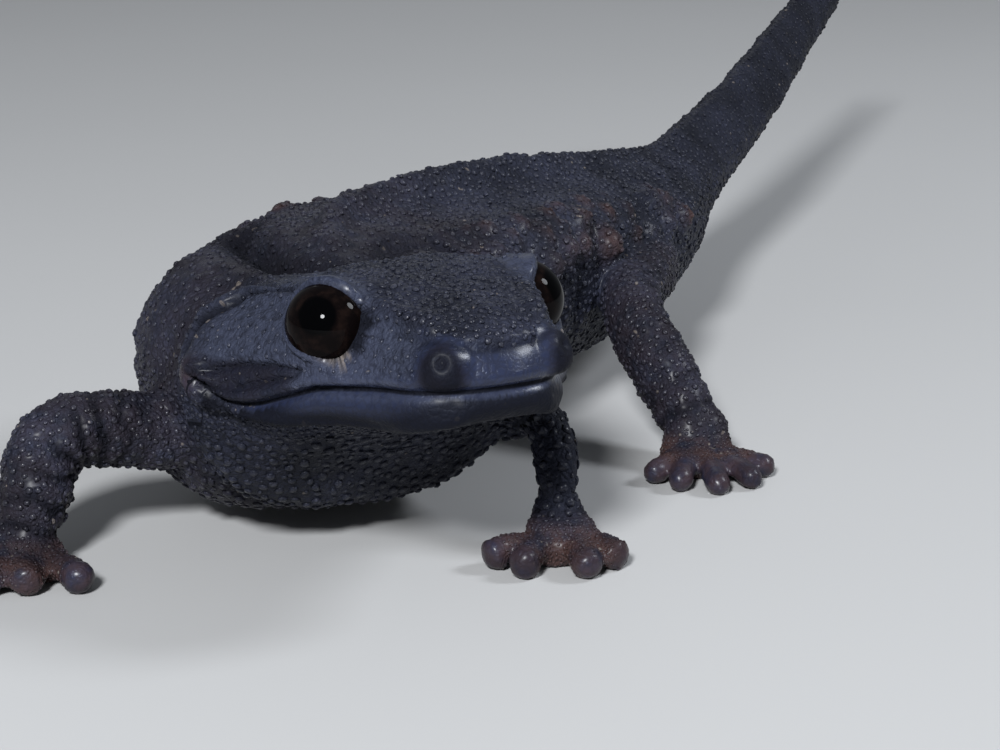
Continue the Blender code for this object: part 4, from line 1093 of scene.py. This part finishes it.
# points thrown on the skin by area, kept where they stand clear of those kept before
def scatter():
    a, b, c, d = (points[quads[:, k]] for k in range(4))
    area = 0.5 * np.linalg.norm(np.cross(c - a, d - b), axis=1)
    cover = 1 - np.clip(marks["gloss"] * 2.2 - 0.2, 0, 1)
    cover = cover * (1 - 0.9 * marks["crease"]) * (lidRim < 0.12) * (np.abs(marks["line"]) > 0.3)
    cover = cover * ramp(toNostril, 1.25, 1.5)
    size = granuleSize()
    weight = area * cover[quads].mean(axis=1) / size[quads].mean(axis=1) ** 2
    pick = rng.choice(len(quads), granules["tries"], p=weight / weight.sum())
    u, v = rng.uniform(0, 1, (2, len(pick)))
    corner = np.stack([(1 - u) * (1 - v), u * (1 - v), u * v, (1 - u) * v], axis=1)
    place = readOn(points, pick, corner)
    vary = np.exp(np.clip(rng.normal(-0.05, granules["spread"], len(pick)), -0.8, 0.75))
    pointSize = readOn(size, pick, corner) * vary
    room = readOn(granuleRoom(), pick, corner) * granules["spacing"] * pointSize
    order = np.argsort(-pointSize + rng.uniform(-0.06, 0.06, len(pick)))
    tree = KDTree(len(place))
    for i, p in enumerate(place):
        tree.insert(p, i)
    tree.balance()
    free = np.ones(len(place), bool)
    keep = []
    for i in order:
        if free[i]:
            keep.append(i)
            for found, index, distance in tree.find_range(place[i], room[i]):
                free[index] = False
    keep = np.array(keep)
    return pick[keep], corner[keep], place[keep], pointSize[keep]


# domes on their roots: each root's own right, forward and outward carry the template
def putGranules():
    quad, corner, place, size = scatter()
    up = unit(readOn(pointNormals(points, quads), quad, corner))
    first = unit(np.cross(up, unit(rng.normal(size=up.shape))))
    second = np.cross(up, first)
    shape, faces = dome(granules["sides"], granules["levels"])
    wide = rng.uniform(*granules["wide"], (len(place), 2)) * size[:, None]
    height = size * granules["height"] * rng.uniform(*granules["high"], len(place))
    uneven = 1 + granules["uneven"] * rng.uniform(-1, 1, (len(place), len(shape)))
    solid = (place[:, None] + (wide[:, :1] * shape[:, 0] * uneven)[..., None] * first[:, None]
             + (wide[:, 1:] * shape[:, 1] * uneven)[..., None] * second[:, None]
             + (height[:, None] * shape[:, 2])[..., None] * up[:, None])
    solid[..., 2] = np.maximum(solid[..., 2], -shift[2])
    ownMarks = {name: readOn(values, quad, corner) for name, values in marks.items()}
    # a few small granules painted pale: painted glints
    pale = 0.6 * (size < np.median(size)) * (rng.uniform(0, 1, len(place)) < granules["pale"])
    ownMarks["pale"] = np.maximum(ownMarks["pale"], pale)
    # on the map each dome is a small patch: head, trunk and tail by distance and angle below, limbs above
    root = quads[quad][:, 0]
    rootS, limbPart = readOn(s, quad, corner), readOn(onLimb, quad, corner) > 0.5
    u = np.where(limbPart, 0.02 + 0.44 * limbShare[root] + 0.5 * (place[:, 1] > 18),
                 0.02 + 0.96 * rootS / body["tip"])
    v = np.where(limbPart, 0.55 + 0.4 * ((place @ np.array([0.11, 0.07, 0.13])) % 1.0),
                 0.02 + 0.48 * (angle[root] / math.tau % 1.0))
    pieceCount = max(1, math.ceil(len(place) / granules["perPiece"]))
    for number, part in enumerate(np.array_split(np.argsort(rootS, kind="stable"), pieceCount)):
        count = len(part)
        allFaces = (faces[None] + (np.arange(count) * len(shape))[:, None, None]).reshape(-1, 3)
        piece = putMesh(f"granules{number + 1}", solid[part].reshape(-1, 3), allFaces, granuleMaterial)
        for name, values in ownMarks.items():
            setAttribute(piece, name, np.repeat(values[part], len(shape)))
        setAttribute(piece, "tip", np.tile(np.clip(shape[:, 2], 0, 1), count))
        spots = np.column_stack([u[part], v[part]])[:, None] + shape[:, :2] * granules["patch"]
        layer = piece.data.uv_layers.new(name="OFBake")
        layer.data.foreach_set("uv", spots.reshape(-1, 2)[allFaces.ravel()].astype(np.float32).ravel())
        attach(piece, "root")
    return len(place)


print("granules:", putGranules())


view = dict(place=(3.282, -125.939, 47.431), down=16.0, focal=2535.0, width=1000, sensor=36.0)
camera = bpy.data.cameras.new("camera")
camera.sensor_width = view["sensor"]
camera.lens = view["focal"] * view["sensor"] / view["width"]
camera.clip_start = 0.005
camera.clip_end = 20.0
cameraObject = bpy.data.objects.new("camera", camera)
cameraObject.location = Vector((np.array(view["place"]) + shift) * mm)
cameraObject.rotation_euler = (math.radians(90 - view["down"]), 0, 0)
bpy.context.scene.collection.objects.link(cameraObject)
bpy.context.scene.camera = cameraObject

ground = dict(half=3.0, dark=(0.44, 0.44, 0.437), light=(0.48, 0.48, 0.477), rough=0.8)
f = Finish("paleFloor")
f.set(Base_Color=f.blend(f.noise(9.0), ground["dark"], ground["light"]),
      Roughness=ground["rough"] + 0.05 * f.noise(30.0))
corners = ground["half"] * np.array([(-1, -1, 0), (1, -1, 0), (1, 1, 0), (-1, 1, 0)])
floor = putMesh("floor", corners, np.array([[0, 1, 2, 3]]), f.material, moved=False)

lamps = dict(
    key=dict(place=(-0.075, -0.36, 0.235), size=0.07, power=2.3, colour=(0.95, 0.97, 1.0)),
    side=dict(place=(0.26, -0.02, 0.24), size=0.09, power=0.6, colour=(0.90, 0.94, 1.0)),
    back=dict(place=(-0.05, 0.45, 0.25), size=0.28, power=0.12, colour=(0.92, 0.95, 1.0)),
)
studio = dict(aim=(0.0, -0.03, 0.01), sky=(0.80, 0.85, 0.92, 1), strength=0.2)
for name, lamp in lamps.items():
    light = bpy.data.lights.new(name, "AREA")
    light.shape = "DISK"
    light.size, light.energy, light.color = lamp["size"], lamp["power"], lamp["colour"]
    lampObject = bpy.data.objects.new(name, light)
    lampObject.location = lamp["place"]
    toward = Vector(studio["aim"]) - Vector(lamp["place"])
    lampObject.rotation_euler = toward.to_track_quat("-Z", "Y").to_euler()
    bpy.context.scene.collection.objects.link(lampObject)

world = bpy.data.worlds.new("studio")
world.use_nodes = True
sky = world.node_tree.nodes["Background"].inputs
sky["Color"].default_value = studio["sky"]
sky["Strength"].default_value = studio["strength"]
bpy.context.scene.world = world
bpy.context.scene.view_settings.view_transform = "Standard"
